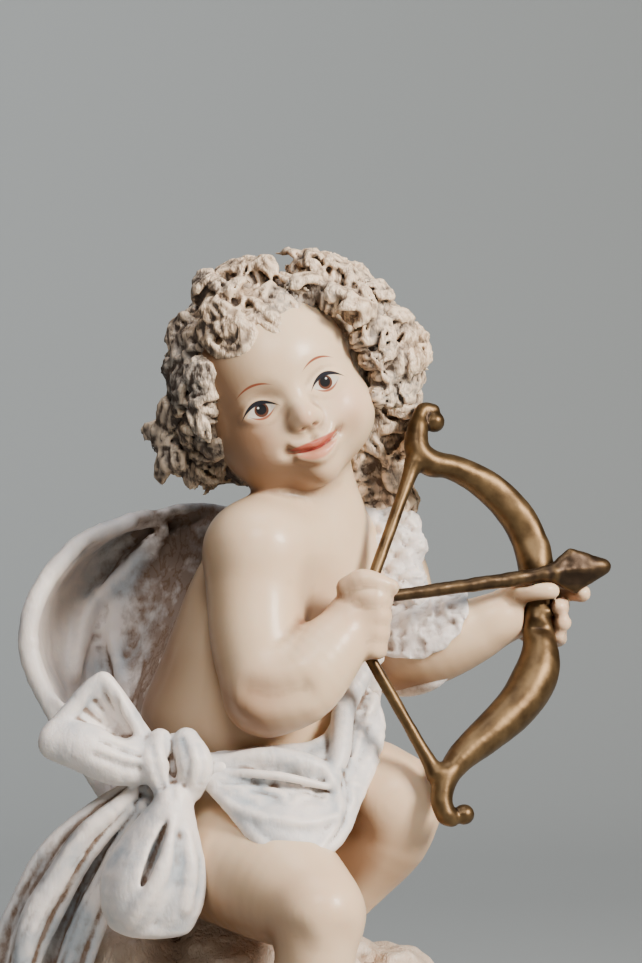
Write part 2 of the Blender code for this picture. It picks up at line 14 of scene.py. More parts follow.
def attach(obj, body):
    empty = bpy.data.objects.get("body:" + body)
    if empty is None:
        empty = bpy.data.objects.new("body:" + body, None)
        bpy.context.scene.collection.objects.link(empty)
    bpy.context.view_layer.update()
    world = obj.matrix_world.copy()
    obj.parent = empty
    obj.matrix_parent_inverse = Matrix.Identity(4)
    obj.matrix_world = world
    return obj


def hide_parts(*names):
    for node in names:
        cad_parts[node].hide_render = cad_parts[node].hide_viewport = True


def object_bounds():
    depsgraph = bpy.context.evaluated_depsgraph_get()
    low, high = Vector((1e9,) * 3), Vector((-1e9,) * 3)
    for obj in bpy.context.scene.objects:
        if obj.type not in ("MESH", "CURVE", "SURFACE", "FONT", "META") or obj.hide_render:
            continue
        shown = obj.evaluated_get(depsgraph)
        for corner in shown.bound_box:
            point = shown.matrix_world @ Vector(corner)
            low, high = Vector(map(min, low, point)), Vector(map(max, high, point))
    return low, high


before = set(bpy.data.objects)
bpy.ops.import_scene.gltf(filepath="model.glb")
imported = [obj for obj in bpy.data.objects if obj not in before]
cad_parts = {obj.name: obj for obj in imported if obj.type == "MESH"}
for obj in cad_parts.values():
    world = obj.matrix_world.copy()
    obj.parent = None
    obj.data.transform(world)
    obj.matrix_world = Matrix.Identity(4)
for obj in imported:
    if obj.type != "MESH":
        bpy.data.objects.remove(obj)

CAD_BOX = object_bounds()

bl_info = {
    "name": "Cherub figurine",
    "version": (1, 0, 0),
    "blender": (4, 5, 0),
    "location": "View3D > Sidebar > Cherub",
    "description": "Models and paints a seated cherub figurine with a bow, and a studio around it",
    "category": "Object",
}

# One part of the figure's height, in metres
HEIGHT_IN_PARTS = 214.6
PART = (CAD_BOX[1][2] - CAD_BOX[0][2]) / HEIGHT_IN_PARTS
GOLDEN_ANGLE = math.pi * (3 - math.sqrt(5))
MM = 0.001

# In parts: a distance beyond any shape, and places clear of the figure and of the face
FAR = 1e3
IN_FRONT = -62
AHEAD_OF_FACE = 34

# The head: rolled in the picture plane, then turned towards the bow
HEAD_ROLL = math.radians(24)
HEAD_TURN = math.radians(10)
HEAD_CENTRE = np.array([-3.1, -5.9, 184.6])
HEAD_UP = np.array([-math.sin(HEAD_ROLL), 0, math.cos(HEAD_ROLL)])
ROLLED_ACROSS = np.array([math.cos(HEAD_ROLL), 0, math.sin(HEAD_ROLL)])
HEAD_FORWARD = math.sin(HEAD_TURN) * ROLLED_ACROSS + math.cos(HEAD_TURN) * np.array([0, -1, 0])
HEAD_ACROSS = math.cos(HEAD_TURN) * ROLLED_ACROSS + math.sin(HEAD_TURN) * np.array([0, 1, 0])
HEAD_AXES = np.stack([HEAD_ACROSS, HEAD_FORWARD, HEAD_UP])

# Joints of the body, in parts, as in the solids
NECK = (6, -1, 156)
NEAR_SHOULDER = (-6.7, -17, 149)
NEAR_ELBOW = (-4.6, -27, 119.5)
NEAR_FIST = (15, -22.5, 135)
FAR_SHOULDER = (19, 15, 146)
FAR_ELBOW = (23.9, 5, 127.4)
FAR_WRIST = (47, -2.5, 134.6)
NEAR_HIP = (-16.3, -11, 85.2)
NEAR_KNEE = (6.3, -41, 74)
NEAR_ANKLE = (5, -36, 32)
FAR_HIP = (2, 8, 92)
FAR_KNEE = (22.3, -12, 94.6)
FAR_ANKLE = (1, -5, 62)
KNOT = (-24, -25.5, 104.3)
STRING_TOP = (27.4, 168.5)
STRING_NOCK = (14, 132.6)
STRING_FOOT = (31.6, 102)
ARROW_NOCK = (20, 139.5)
ARROW_TIP = (70.5, 146)
GRIP = (54.6, 138.5)

# Size of the clay's cells, in parts: finer where the modelling is
BODY_CELL = 1.0
FACE_CELL = 0.55
HAIR_CELL = 0.57
SAIL_CELL = 0.72
CLOTH_CELL = 0.55
ROCK_CELL = 1.05
BOW_CELL = 0.5
ARROW_CELL = 0.45

# The face, in parts on the head: place across and up, seen square from in front
EYE_ACROSS = 7.8
EYE_UP = -3.0
MOUTH_UP = -15.4


# Curves and directions


def unit(v):
    v = np.asarray(v, float)
    return v / np.linalg.norm(v)


def spline(rows, count):
    """Points of a smooth curve through the rows; a row may carry sizes after its place."""
    rows = np.asarray(rows, float)
    around = np.vstack([2 * rows[0] - rows[1], rows, 2 * rows[-1] - rows[-2]])
    t = np.linspace(0, len(rows) - 1, count)
    i = np.minimum(t.astype(int), len(rows) - 2)
    f = (t - i)[:, None]
    a, b, c, d = (around[i + k] for k in range(4))
    return 0.5 * (2 * b + (c - a) * f + (2 * a - 5 * b + 4 * c - d) * f**2 + (3 * b - a - 3 * c + d) * f**3)


def head_point(a, b, c):
    """A place on the head from its own across, forward and up."""
    return HEAD_CENTRE + a * HEAD_ACROSS + b * HEAD_FORWARD + c * HEAD_UP


def bow_point(x, z):
    """A place in the bow's leaning plane."""
    return np.array([x, -17 + 0.391 * (x - 21) + 0.309 * (z - 138), z])


def grain(points, size, seed):
    """Smooth random values from -1 to 1 over the points, with bumps of the given size."""
    lattice = np.random.default_rng(seed).uniform(-1, 1, (24, 24, 24))
    place = np.asarray(points) / size
    cell = np.floor(place).astype(int)
    f = place - cell
    return blended(lattice, cell, f * f * (3 - 2 * f))


def blended(lattice, cell, share):
    """The lattice's values inside its cells; share is how far across its cell each place is."""
    total = np.zeros(len(cell))
    for corner in range(8):
        step = np.array([corner & 1, corner >> 1 & 1, corner >> 2 & 1])
        weight = np.prod(np.where(step, share, 1 - share), axis=1)
        total += weight * lattice[tuple(((cell + step) % lattice.shape).T)]
    return total


# Modelling clay: shapes melt into one another in a block of distances, and a skin is drawn over them


class Clay:
    """A block of space that holds how far each cell is from the modelled surface, in parts."""

    def __init__(self, lo, hi, cell, fine=None, fine_cell=None):
        self.axes = []
        for k in range(3):
            if fine is None:
                self.axes.append(np.arange(lo[k], hi[k], cell, dtype=np.float32))
                continue
            low = np.arange(lo[k], fine[0][k], cell)
            mid = np.arange(fine[0][k], fine[1][k], fine_cell)
            high = np.arange(fine[1][k], hi[k], cell)
            self.axes.append(np.concatenate([low, mid, high]).astype(np.float32))
        self.field = np.full([len(a) for a in self.axes], FAR, np.float32)

    def window(self, lo, hi):
        """The part of the block between two corners: its slices and its places along each axis."""
        slices = []
        for axis, low, high in zip(self.axes, lo, hi):
            start, stop = np.searchsorted(axis, (low, high))
            slices.append(slice(int(start), int(stop)))
        x, y, z = (axis[s] for axis, s in zip(self.axes, slices))
        return tuple(slices), (x[:, None, None], y[None, :, None], z[None, None, :])

    def merge(self, slices, distance, melt):
        """Joins a shape to the clay; melt is how far the joint is filled."""
        old = self.field[slices]
        if melt <= 0:
            self.field[slices] = np.minimum(old, distance)
            return
        blend = np.maximum(melt - np.abs(old - distance), 0) / melt
        self.field[slices] = np.minimum(old, distance) - blend * blend * melt / 4

    def carve(self, slices, distance, melt):
        """Takes a shape out of the clay; melt rounds the edge it leaves."""
        old = self.field[slices]
        blend = np.maximum(melt - np.abs(old + distance), 0) / melt
        self.field[slices] = np.maximum(old, -distance) + blend * blend * melt / 4

    def ball(self, centre, radii, melt, axes=None, carve=False):
        """An ellipsoid; axes are rows of its own directions."""
        radii = np.ones(3) * radii
        reach = max(radii) + 2 * melt + 1
        slices, (x, y, z) = self.window(np.subtract(centre, reach), np.add(centre, reach))
        x, y, z = x - centre[0], y - centre[1], z - centre[2]
        axes = np.eye(3) if axes is None else axes
        own = [float(a[0]) * x + float(a[1]) * y + float(a[2]) * z for a in axes]
        k0 = np.sqrt(sum((p / r) ** 2 for p, r in zip(own, radii)))
        k1 = np.sqrt(sum((p / (r * r)) ** 2 for p, r in zip(own, radii))) + 1e-6
        distance = (k0 * (k0 - 1) / k1).astype(np.float32)
        (self.carve if carve else self.merge)(slices, distance, melt)

    def limb(self, rows, melt, count=14, carve=False):
        """A round-ended rod along rows of place and radius, smoothed to count rows if that is more."""
        path = spline(rows, count) if count > len(rows) else np.asarray(rows, float)
        reach = path[:, 3].max() + 2 * melt + 1
        slices, (x, y, z) = self.window(path[:, :3].min(0) - reach, path[:, :3].max(0) + reach)
        distance = np.full([len(v.ravel()) for v in (x, y, z)], FAR, np.float32)
        start = [s.start for s in slices]
        for one, two in zip(path, path[1:]):
            near = max(one[3], two[3]) + 2 * melt + 1
            low, high = np.minimum(one[:3], two[:3]) - near, np.maximum(one[:3], two[:3]) + near
            inner, (x, y, z) = self.window(low, high)
            own = tuple(slice(max(s.start - o, 0), s.stop - o) for s, o in zip(inner, start))
            run = two[:3] - one[:3]
            dx, dy, dz = x - one[0], y - one[1], z - one[2]
            t = np.clip((dx * run[0] + dy * run[1] + dz * run[2]) / (run @ run + 1e-9), 0, 1)
            gap = np.sqrt((dx - t * run[0]) ** 2 + (dy - t * run[1]) ** 2 + (dz - t * run[2]) ** 2)
            distance[own] = np.minimum(distance[own], gap - (one[3] + (two[3] - one[3]) * t))
        (self.carve if carve else self.merge)(slices, distance, melt)

    def cloud(self, points, radius, melt):
        """The union of many small balls, which together make a cast sheet."""
        reach = radius + melt + 1
        slices, (x, y, z) = self.window(points.min(0) - reach, points.max(0) + reach)
        axes = [v.ravel() for v in (x, y, z)]
        shape = [len(a) for a in axes]
        distance = np.full(shape, FAR, np.float32).ravel()
        base = [np.clip(np.searchsorted(a, points[:, k]), 1, len(a) - 1) for k, a in enumerate(axes)]
        cells = int(reach / (axes[0][1] - axes[0][0]))
        steps = range(-cells - 1, cells + 1)
        for i in steps:
            at_x = np.clip(base[0] + i, 0, shape[0] - 1)
            off_x = (axes[0][at_x] - points[:, 0]) ** 2
            for j in steps:
                at_y = np.clip(base[1] + j, 0, shape[1] - 1)
                off_xy = off_x + (axes[1][at_y] - points[:, 1]) ** 2
                for k in steps:
                    at_z = np.clip(base[2] + k, 0, shape[2] - 1)
                    gap = np.sqrt(off_xy + (axes[2][at_z] - points[:, 2]) ** 2) - radius
                    cell = (at_x * shape[1] + at_y) * shape[2] + at_z
                    np.minimum.at(distance, cell, gap.astype(np.float32))
        self.merge(slices, distance.reshape(shape), melt)

    def cloth(self, rows, thickness, relief, count, melt):
        """A cast sheet through a grid of places; relief(u, v, places) lifts its face."""
        grid = np.asarray(rows, float)
        along = np.stack([spline(row, count[1]) for row in grid])
        sheet = np.stack([spline(along[:, k], count[0]) for k in range(count[1])], axis=1)
        normals = np.cross(np.gradient(sheet, axis=0), np.gradient(sheet, axis=1))
        normals /= np.linalg.norm(normals, axis=2)[:, :, None] + 1e-9
        u, v = np.meshgrid(np.linspace(0, 1, count[0]), np.linspace(0, 1, count[1]), indexing="ij")
        sheet = sheet + normals * relief(u, v, sheet)[:, :, None]
        self.cloud(sheet.reshape(-1, 3), thickness / 2, melt)

    def pleats(self, edges, count, radius, melt, wave):
        """Strands laid side by side between edge lines, alternately forward and back, like gathered cloth."""
        rings = 14
        lines = np.stack([spline(edge, rings) for edge in edges])
        fan = np.stack([spline(lines[:, k], count) for k in range(rings)], axis=1)
        for k, line in enumerate(fan):
            swell = wave * (-1) ** k * np.sin(np.linspace(0.15, math.pi * 0.9, rings))
            rows = np.column_stack([line + np.outer(swell, (0.2, -1, 0.1)), np.full(rings, radius)])
            self.limb(rows, melt, rings)

    def roughen(self, height, band=3.0):
        """Moves the surface out by height(points), where the clay is within the band of it."""
        near = np.nonzero(np.abs(self.field) < band)
        points = np.stack([axis[i] for axis, i in zip(self.axes, near)], axis=1)
        self.field[near] -= height(points).astype(np.float32)

    def sample(self, points):
        """The distance and its slope at places between the cells."""
        places = []
        for k, axis in enumerate(self.axes):
            i = np.clip(np.searchsorted(axis, points[:, k]) - 1, 0, len(axis) - 2)
            span = axis[i + 1] - axis[i]
            places.append((i, (points[:, k] - axis[i]) / span, span))
        (i, fx, sx), (j, fy, sy), (k, fz, sz) = places
        corner = [[[self.field[i + a, j + b, k + c] for c in (0, 1)] for b in (0, 1)] for a in (0, 1)]
        along = [[corner[a][b][0] * (1 - fz) + corner[a][b][1] * fz for b in (0, 1)] for a in (0, 1)]
        rise = [[(corner[a][b][1] - corner[a][b][0]) / sz for b in (0, 1)] for a in (0, 1)]
        sheet = [along[a][0] * (1 - fy) + along[a][1] * fy for a in (0, 1)]
        value = sheet[0] * (1 - fx) + sheet[1] * fx
        slope_x = (sheet[1] - sheet[0]) / sx
        slope_y = sum(w * (along[a][1] - along[a][0]) / sy for a, w in ((0, 1 - fx), (1, fx)))
        slope_z = sum(w * (rise[a][0] * (1 - fy) + rise[a][1] * fy) for a, w in ((0, 1 - fx), (1, fx)))
        return value, np.stack([slope_x, slope_y, slope_z], axis=1)

    def depth(self, start, toward, reach):
        """How far from a start the surface is met, going one way, within a reach."""
        steps = np.linspace(0, reach, 400)
        value, _ = self.sample(np.asarray(start) + np.outer(steps, toward))
        inside = np.nonzero(value < 0)[0]
        return steps[inside[0]] if len(inside) else reach

    def trace(self, line, lift):
        """Rows that follow the surface seen from the front, along a line of across, up and radius."""
        rows = []
        for x, z, radius in spline(line, 14):
            ahead = (x, IN_FRONT, z)
            rows.append((x, IN_FRONT + self.depth(ahead, (0, 1, 0), -IN_FRONT - 2) - lift, z, radius))
        return rows

    def groove(self, line, melt, lift=-0.05):
        """Draws a tool along a line on the front and takes clay away."""
        self.limb(self.trace(line, lift), melt, 0, carve=True)

    def ridge(self, line, melt, lift):
        """Lays a thin roll of clay along a line on the front."""
        self.limb(self.trace(line, lift), melt, 0)

    def skin(self, settle=3):
        """Draws the surface as points and four-sided faces that look outwards, evened out settle times."""
        inside = self.field < 0
        count = np.zeros([n - 1 for n in inside.shape], np.uint8)
        shifts = [(a, b, c) for a in (0, 1) for b in (0, 1) for c in (0, 1)]
        shape = count.shape
        for a, b, c in shifts:
            count += inside[a : a + shape[0], b : b + shape[1], c : c + shape[2]]
        cells = np.nonzero((count > 0) & (count < 8))
        number = np.full(shape, -1, np.int32)
        number[cells] = np.arange(len(cells[0]))
        total = np.zeros((len(cells[0]), 3))
        hits = np.zeros(len(cells[0]))
        base = np.stack(cells, axis=1)
        for along in range(3):
            for first in shifts:
                if first[along]:
                    continue
                one = base + first
                two = one.copy()
                two[:, along] += 1
                f0 = self.field[tuple(one.T)]
                f1 = self.field[tuple(two.T)]
                crosses = (f0 < 0) != (f1 < 0)
                share = np.where(crosses, f0 / np.where(crosses, f0 - f1, 1), 0)
                for k, axis in enumerate(self.axes):
                    low = axis[one[:, k]]
                    total[:, k] += np.where(crosses, low + (axis[two[:, k]] - low) * share, 0)
                hits += crosses
        points = total / hits[:, None]
        faces = []
        for along in range(3):
            ahead = np.take(inside, range(1, inside.shape[along]), axis=along)
            behind = np.take(inside, range(0, inside.shape[along] - 1), axis=along)
            edges = np.stack(np.nonzero(ahead != behind), axis=1)
            u, v = (along + 1) % 3, (along + 2) % 3
            edges = edges[(edges[:, u] > 0) & (edges[:, v] > 0)]
            edges = edges[(edges[:, u] < shape[u]) & (edges[:, v] < shape[v])]
            corners = []
            for du, dv in ((-1, -1), (0, -1), (0, 0), (-1, 0)):
                cell = edges.copy()
                cell[:, u] += du
                cell[:, v] += dv
                corners.append(number[tuple(cell.T)])
            quads = np.stack(corners, axis=1)
            outward = inside[tuple(edges.T)]
            quads[~outward] = quads[~outward][:, ::-1]
            faces.append(quads)
        faces = np.concatenate(faces)
        for _ in range(settle):
            points = 0.5 * points + 0.5 * neighbour_mean(points, faces)
            value, slope = self.sample(points)
            steepness = np.maximum((slope * slope).sum(1), 0.05)
            points = points - np.clip(value / steepness, -0.6, 0.6)[:, None] * slope
        return points, faces


def neighbour_mean(values, faces):
    """For each point, the mean of the values at the points it shares an edge with."""
    total = np.zeros_like(values)
    count = np.zeros(len(values))
    sides = faces.shape[1]
    for k in range(sides):
        one, two = faces[:, k], faces[:, (k + 1) % sides]
        for a, b in ((one, two), (two, one)):
            count += np.bincount(a, minlength=len(values))
            for j in range(values.shape[1]):
                total[:, j] += np.bincount(a, weights=values[b, j], minlength=len(values))
    return total / np.maximum(count, 1)[:, None]


def normals_of(points, faces):
    """Outward directions at the points."""
    cross = np.cross(points[faces[:, 2]] - points[faces[:, 0]], points[faces[:, 3]] - points[faces[:, 1]])
    total = np.zeros_like(points)
    for k in range(4):
        for j in range(3):
            total[:, j] += np.bincount(faces[:, k], weights=cross[:, j], minlength=len(points))
    return total / (np.linalg.norm(total, axis=1)[:, None] + 1e-12)


def hollowness(points, faces, rounds):
    """How deep each point lies below its smoothed surroundings: above zero in a hollow, below on a crest."""
    smooth = points.copy()
    for _ in range(rounds):
        smooth = neighbour_mean(smooth, faces)
    return ((smooth - points) * normals_of(points, faces)).sum(1)


# Pieces


def make_piece(name, points, faces, node, material, marks):
    """A finished piece of the figurine: its mesh, its painted marks and the solid that it stands for."""
    mesh = bpy.data.meshes.new(name)
    mesh.vertices.add(len(points))
    mesh.vertices.foreach_set("co", (np.asarray(points) * PART).ravel())
    sides = faces.shape[1]
    mesh.loops.add(faces.size)
    mesh.loops.foreach_set("vertex_index", faces.ravel())
    mesh.polygons.add(len(faces))
    mesh.polygons.foreach_set("loop_start", np.arange(0, faces.size, sides))
    mesh.polygons.foreach_set("use_smooth", np.ones(len(faces), bool))
    mesh.update(calc_edges=True)
    mesh.validate()
    for label, values in marks.items():
        kind, field = ("FLOAT", "value") if values.ndim == 1 else ("FLOAT_VECTOR", "vector")
        attribute = mesh.attributes.new(label, kind, "POINT")
        attribute.data.foreach_set(field, values.astype(np.float32).ravel())
    mesh.materials.append(material)
    piece = add_object(name, mesh)
    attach(piece, "root")
    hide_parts(node)


def wash_marks(points, faces, fine, broad, added_shade=0.0):
    """Where thinned paint would settle, at the scale of a brush line and of a fold; added_shade adds painted
    shade to it where above zero and lightens it where below.
    """
    return {
        "wash_fine": hollowness(points, faces, fine) + added_shade,
        "wash_broad": hollowness(points, faces, broad),
    }


# The figure: head, body, hands and feet in one skin


def model_head(clay):
    """A child's head on round proportions: full cheeks, small nose, smiling mouth."""

    def lump(a, b, c, radii, melt=3.0, carve=False):
        clay.ball(head_point(a, b, c), radii, melt, HEAD_AXES, carve)

    lump(0, -2, 3, (18.6, 21.2, 19.5))
    lump(0, 6, 5, (15.6, 13.2, 13.5), 6)
    lump(0, 4.5, -8.5, (15.0, 12.8, 14.2), 6)
    lump(0, 12.4, -19.0, (4.6, 4.6, 4.0), 5)
    lump(0, 13.6, -13.0, (7.5, 5.2, 5.5), 4)
    for side in (-1, 1):
        lump(9.2 * side, 8.3, -9.8, (7.8, 8.8, 8.2), 5)
        lump(7.8 * side, 22.5, -2.6, (4.2, 4.6, 3.2), 4, carve=True)
        lump(7.8 * side, 12.9, -3.1, (4.9, 4.6, 4.0), 1.6)
    nose = [(0, 16.8, -0.5, 1.4), (0, 18.6, -4.6, 1.4), (0, 19.9, -7.6, 1.9)]
    clay.limb([(*head_point(a, b, c), radius) for a, b, c, radius in nose], 2.6)
    lump(0, 20.3, -8.3, (2.2, 2.2, 2.0), 2.2)
    for side in (-1, 1):
        lump(2.2 * side, 18.9, -9.0, (1.3, 1.6, 1.25), 1.6)
        lump(1.2 * side, 20.5, -10.5, (0.65, 0.9, 0.45), 0.5, carve=True)


def front_of(clay, a, c):
    """The forward place of the face's surface at a place across and up."""
    return AHEAD_OF_FACE - clay.depth(head_point(a, AHEAD_OF_FACE, c), -HEAD_FORWARD, 30)


def model_features(clay):
    """Lids and lips laid on the modelled face, wherever its surface is."""

    def on_face(line, sink):
        """Rows on the face along a line of across, up and radius; sink is how far below its surface."""
        return [(*head_point(a, front_of(clay, a, c) - sink, c), radius) for a, c, radius in line]

    widths = np.linspace(-1, 1, 7)
    upper_lip, lower_lip, between = [], [], []
    for w in widths:
        bow = 1.2 + 1.1 * w * w + 0.25 * abs(w) - 0.35 * (abs(w) < 0.1)
        upper_lip.append((4.8 * w, MOUTH_UP + bow, 1.1 - 0.5 * abs(w)))
        lower_lip.append((3.7 * w, MOUTH_UP - 1.7 + 1.4 * w * w, 1.6 - 0.6 * abs(w)))
        between.append((5.7 * w, MOUTH_UP + 1.4 * w * w, 0.5))
    upper_lip, lower_lip, between = on_face(upper_lip, 0.25), on_face(lower_lip, 0.4), on_face(between, -0.1)
    groove = on_face([(0, -11.6, 0.9), (0, -12.8, 0.9)], -0.75)
    clay.limb(upper_lip, 1.0)
    clay.limb(lower_lip, 1.3)
    clay.limb(between, 0.6, carve=True)
    clay.limb(groove, 0.8, carve=True)
    for side in (-1, 1):
        (*corner, radius), = on_face([(6.3 * side, MOUTH_UP + 1.6, 0.8)], -0.45)
        clay.ball(corner, radius, 1.8, carve=True)
        eye = EYE_ACROSS * side
        upper_lid = [(eye + 4.3 * w, EYE_UP + 1.75 - 2.0 * w * w, 0.5) for w in widths]
        clay.limb(on_face(upper_lid, 0.3), 1.1, 16)
        lower_lid = [(eye + 3.4 * w, EYE_UP - 2.5 + 1.6 * w * w, 0.4) for w in widths]
        clay.limb(on_face(lower_lid, 0.35), 1.3, 16)


def model_torso(clay):
    """Neck, chest, belly, back and seat."""
    clay.limb([(2, -3, 170, 10.8), (5, -2.2, 162, 10.0), (*NECK, 10.8), (4, 0, 150, 13)], 3)
    clay.ball((-2.5, 0, 136), (20.3, 17.5, 20), 6, tilted(0.22))
    clay.ball((-6, 0, 124), (20.6, 18.4, 16), 8, tilted(0.22))
    clay.ball((-9.5, 0, 111), (23.8, 20.5, 19.5), 8)
    clay.ball((-9, 3, 91), (22.5, 19.5, 17.5), 8)
    for x in (2, 13):
        clay.ball((x, -11 + 0.55 * (x - 2), 139 + 0.1 * x), (9, 7, 8), 6)
    # shoulder blades and the line of the back
    clay.ball((-12, 11, 144), (8, 7, 10), 6)
    clay.ball((9, 15, 142), (8, 6, 10), 6)
    clay.limb([(0, 19.5, 150, 2), (-6, 21.5, 130, 2.2), (-10, 23.5, 110, 2.4)], 7, carve=True)
    # seat
    clay.ball((-19, 13, 84), (14, 13, 12), 5)
    clay.ball((3, 15, 84), (14, 13, 12), 5)
    clay.limb([(-8, 28.5, 96, 1.2), (-8, 29, 84, 2.2), (-8, 24, 72, 2)], 4, carve=True)


def tilted(angle):
    """Axes that lean their up direction towards +X."""
    along, down = math.cos(angle), math.sin(angle)
    return np.array([[along, 0, -down], [0, 1, 0], [down, 0, along]])


def model_arms(clay):
    """The near arm drawing the string, the far arm holding out the bow."""
    clay.limb([(5, -3, 151, 10), (-1, -10, 151, 11.3), (*NEAR_SHOULDER, 11.8)], 6)
    near = [(*NEAR_SHOULDER, 11.6), (-7.2, -20, 139, 10.6), (-6.6, -23.5, 129, 10), (*NEAR_ELBOW, 9)]
    clay.limb(near, 2.2, 16)
    forearm = [(*NEAR_ELBOW, 9), (2, -28, 121.8, 9.2), (8.3, -26.5, 128, 7.7), (12.4, -24.4, 132.8, 5.9)]
    clay.limb(forearm, 2.6, 14)
    clay.limb([(-8.5, -37.2, 120.4, 0.8), (-3, -38.2, 119.4, 1.2), (3, -37.8, 120.6, 0.8)], 5, 8, carve=True)
    clay.limb([(8, 6, 150, 10.5), (*FAR_SHOULDER, 10.7), (23, 10, 136, 9.6), (*FAR_ELBOW, 9.4)], 5, 14)
    forearm = [(*FAR_ELBOW, 9.4), (31.1, 0.5, 128.3, 8.9), (39.9, -1.7, 131.3, 7.3), (*FAR_WRIST, 5.5)]
    clay.limb(forearm, 2.5, 14)


def model_hands(clay):
    """The near fist closed on the string and the nock; the far hand closed round the grip."""
    fist = np.asarray(NEAR_FIST, float)
    clay.ball(fist + (-0.6, -0.8, 0.2), (5.9, 5.6, 8.0), 2.6, tilted(0.3))
    clay.ball(fist + (1.8, -1.6, -1.6), (4.7, 4.4, 6.6), 2.0)
    for k in range(4):
        z = 5.0 - 3.6 * k
        knuckle = fist + (0.6 + 0.8 * math.cos(k - 1), -4.7 + 0.35 * k, z)
        rows = [(*(knuckle - (2.2, -1.0, 0)), 1.8), (*knuckle, 2.2), (*(knuckle + (3.0, -0.2, -0.4)), 2.2)]
        rows.append((*(fist + (5.5 - 0.45 * k, -1.6, z - 0.7)), 2.1))
        rows.append((*(fist + (4.0, 1.6, z - 0.8)), 1.8))
        clay.limb(rows, 1.05, 12)
    thumb = [(-2.4, -2.6, 6.8, 2.5), (0.8, -4.2, 8.6, 2.4), (4.2, -4.4, 7.9, 2.1), (7.0, -3.8, 7.0, 1.75)]
    clay.limb([(*(fist + row[:3]), row[3]) for row in thumb], 0.9, 10)
    clay.ball(fist + (7.4, -5.3, 7.4), (1.1, 0.5, 0.9), 0.4)
    wrist = np.asarray(FAR_WRIST, float)
    clay.ball(wrist + (3.0, 0.6, 1.2), (4.8, 4.3, 5.2), 3)
    clay.limb([(44.6, -3.1, 133.8, 5.75), (45.4, -3.0, 134.0, 5.75)], 1)
    tips = [
        (64.6, -4.2, 139.9, 2.0), (59.4, -6.2, 137.0, 1.95), (60.2, -5.8, 133.5, 1.95),
        (59.2, -5.2, 130.4, 1.5),
    ]
    for k, tip in enumerate(tips):
        z = 140 - 3.5 * k
        root = (50.5, 1.6, 136 + 0.55 * (z - 136), 2.2)
        clay.limb([root, (55.2, 3.2, z, 2.0), (60.2 - 0.2 * k, 0.2, z + 0.2, 1.9), tip], 0.7, 12)
    thumb = [
        (48, -2.8, 138.4, 2.8), (51.6, -7.2, 140.4, 2.5), (55.6, -8.7, 140.7, 2.1), (57.6, -8.4, 140.6, 1.8),
    ]
    clay.limb(thumb, 1.2, 10)


def model_legs(clay):
    """Thighs, knees with their dimples, shins and feet."""
    thigh = [(*NEAR_HIP, 16), (-4.5, -26, 80.5, 14), (3.2, -36, 76.6, 11.2), (*NEAR_KNEE, 9.5)]
    clay.limb(thigh, 4, 16)
    clay.ball((6.8, -45, 74.5), (6.5, 5.4, 6.5), 4)
    for side in (-1, 1):
        clay.ball((6.6 + 5.8 * side, -50.6, 69.5), 2.2, 5, carve=True)
    clay.limb([(0, -48.6, 66.2, 1.2), (6, -51.4, 65.4, 1.4), (12, -48.6, 66.4, 1.2)], 5, 8, carve=True)
    shin = [(*NEAR_KNEE, 9.4), (5.6, -41.2, 64, 8.5), (4.8, -37.3, 53, 9.8), (4.8, -36.6, 42, 7.4)]
    shin.append((*NEAR_ANKLE, 5.2))
    clay.limb(shin, 2.5, 18)
    clay.limb([(*FAR_HIP, 15), (11, 0.5, 94.8, 13.6), (17.5, -7.5, 96, 12), (*FAR_KNEE, 10.5)], 4, 14)
    clay.ball((24.6, -15, 95.6), (7.4, 6.4, 8), 4)
    shin = [(*FAR_KNEE, 10.1), (21.5, -11.5, 88, 9.6), (14, -8, 80, 9.6), (7, -6, 71, 8), (*FAR_ANKLE, 5.4)]
    clay.limb(shin, 2.2, 16)
    model_foot(clay, NEAR_ANKLE, (0.42, -0.9, -0.12))
    model_foot(clay, FAR_ANKLE, (0.62, -0.72, -0.3))


def model_foot(clay, ankle, toward):
    """A plump foot with five toes below an ankle."""
    run = unit(toward)
    side = unit(np.cross(run, (0, 0, 1)))
    ankle = np.asarray(ankle, float)
    heel = ankle - run * 2.5 + (0, 0, -5.5)
    sole = heel + run * 15
    clay.limb([(*ankle, 5.2), (*(heel + (0, 0, 0.6)), 5.2)], 2, 4)
    clay.limb([(*heel, 4.8), (*(heel + run * 7 + (0, 0, 1.2)), 4.9), (*(sole + (0, 0, -0.6)), 3.6)], 2.5, 8)
    for spread in (-3.2, 3.2):
        clay.ball(sole + side * spread * 0.7 + (0, 0, -0.8), (3.8, 4.2, 3.2), 2.5)
    for k in range(5):
        across = (k - 2) * 2.35
        size = 2.5 - 0.28 * k
        tip = sole + side * across + run * (5.4 - 0.35 * k) + (0, 0, -1.2)
        clay.limb([(*(tip - run * 3), size * 0.9), (*tip, size)], 0.7, 4)
        clay.ball(tip + run * 0.8 + (0, 0, 0.3), size * 0.96, 0.4)


def clear_passages(clay):
    """Keeps the bores for the bow, its string and the arrow open in the hands, with a little room in each."""
    room = 0.25
    clay.limb(along_bow(*((GRIP[0], z, 2.85 + room) for z in (130, 134, 138, 142, 147))), 0.3, 12, carve=True)
    nock = bow_point(*STRING_NOCK)
    for end in (STRING_TOP, STRING_FOOT):
        clay.limb([(*bow_point(*end), 1.4 + room), (*nock, 1.4 + room)], 0.2, 3, carve=True)
    rows = arrow_rows()
    clay.limb([(*rows[0][:3], 1.6 + room), (*rows[2][:3], 2.1 + room)], 0.2, 2, carve=True)


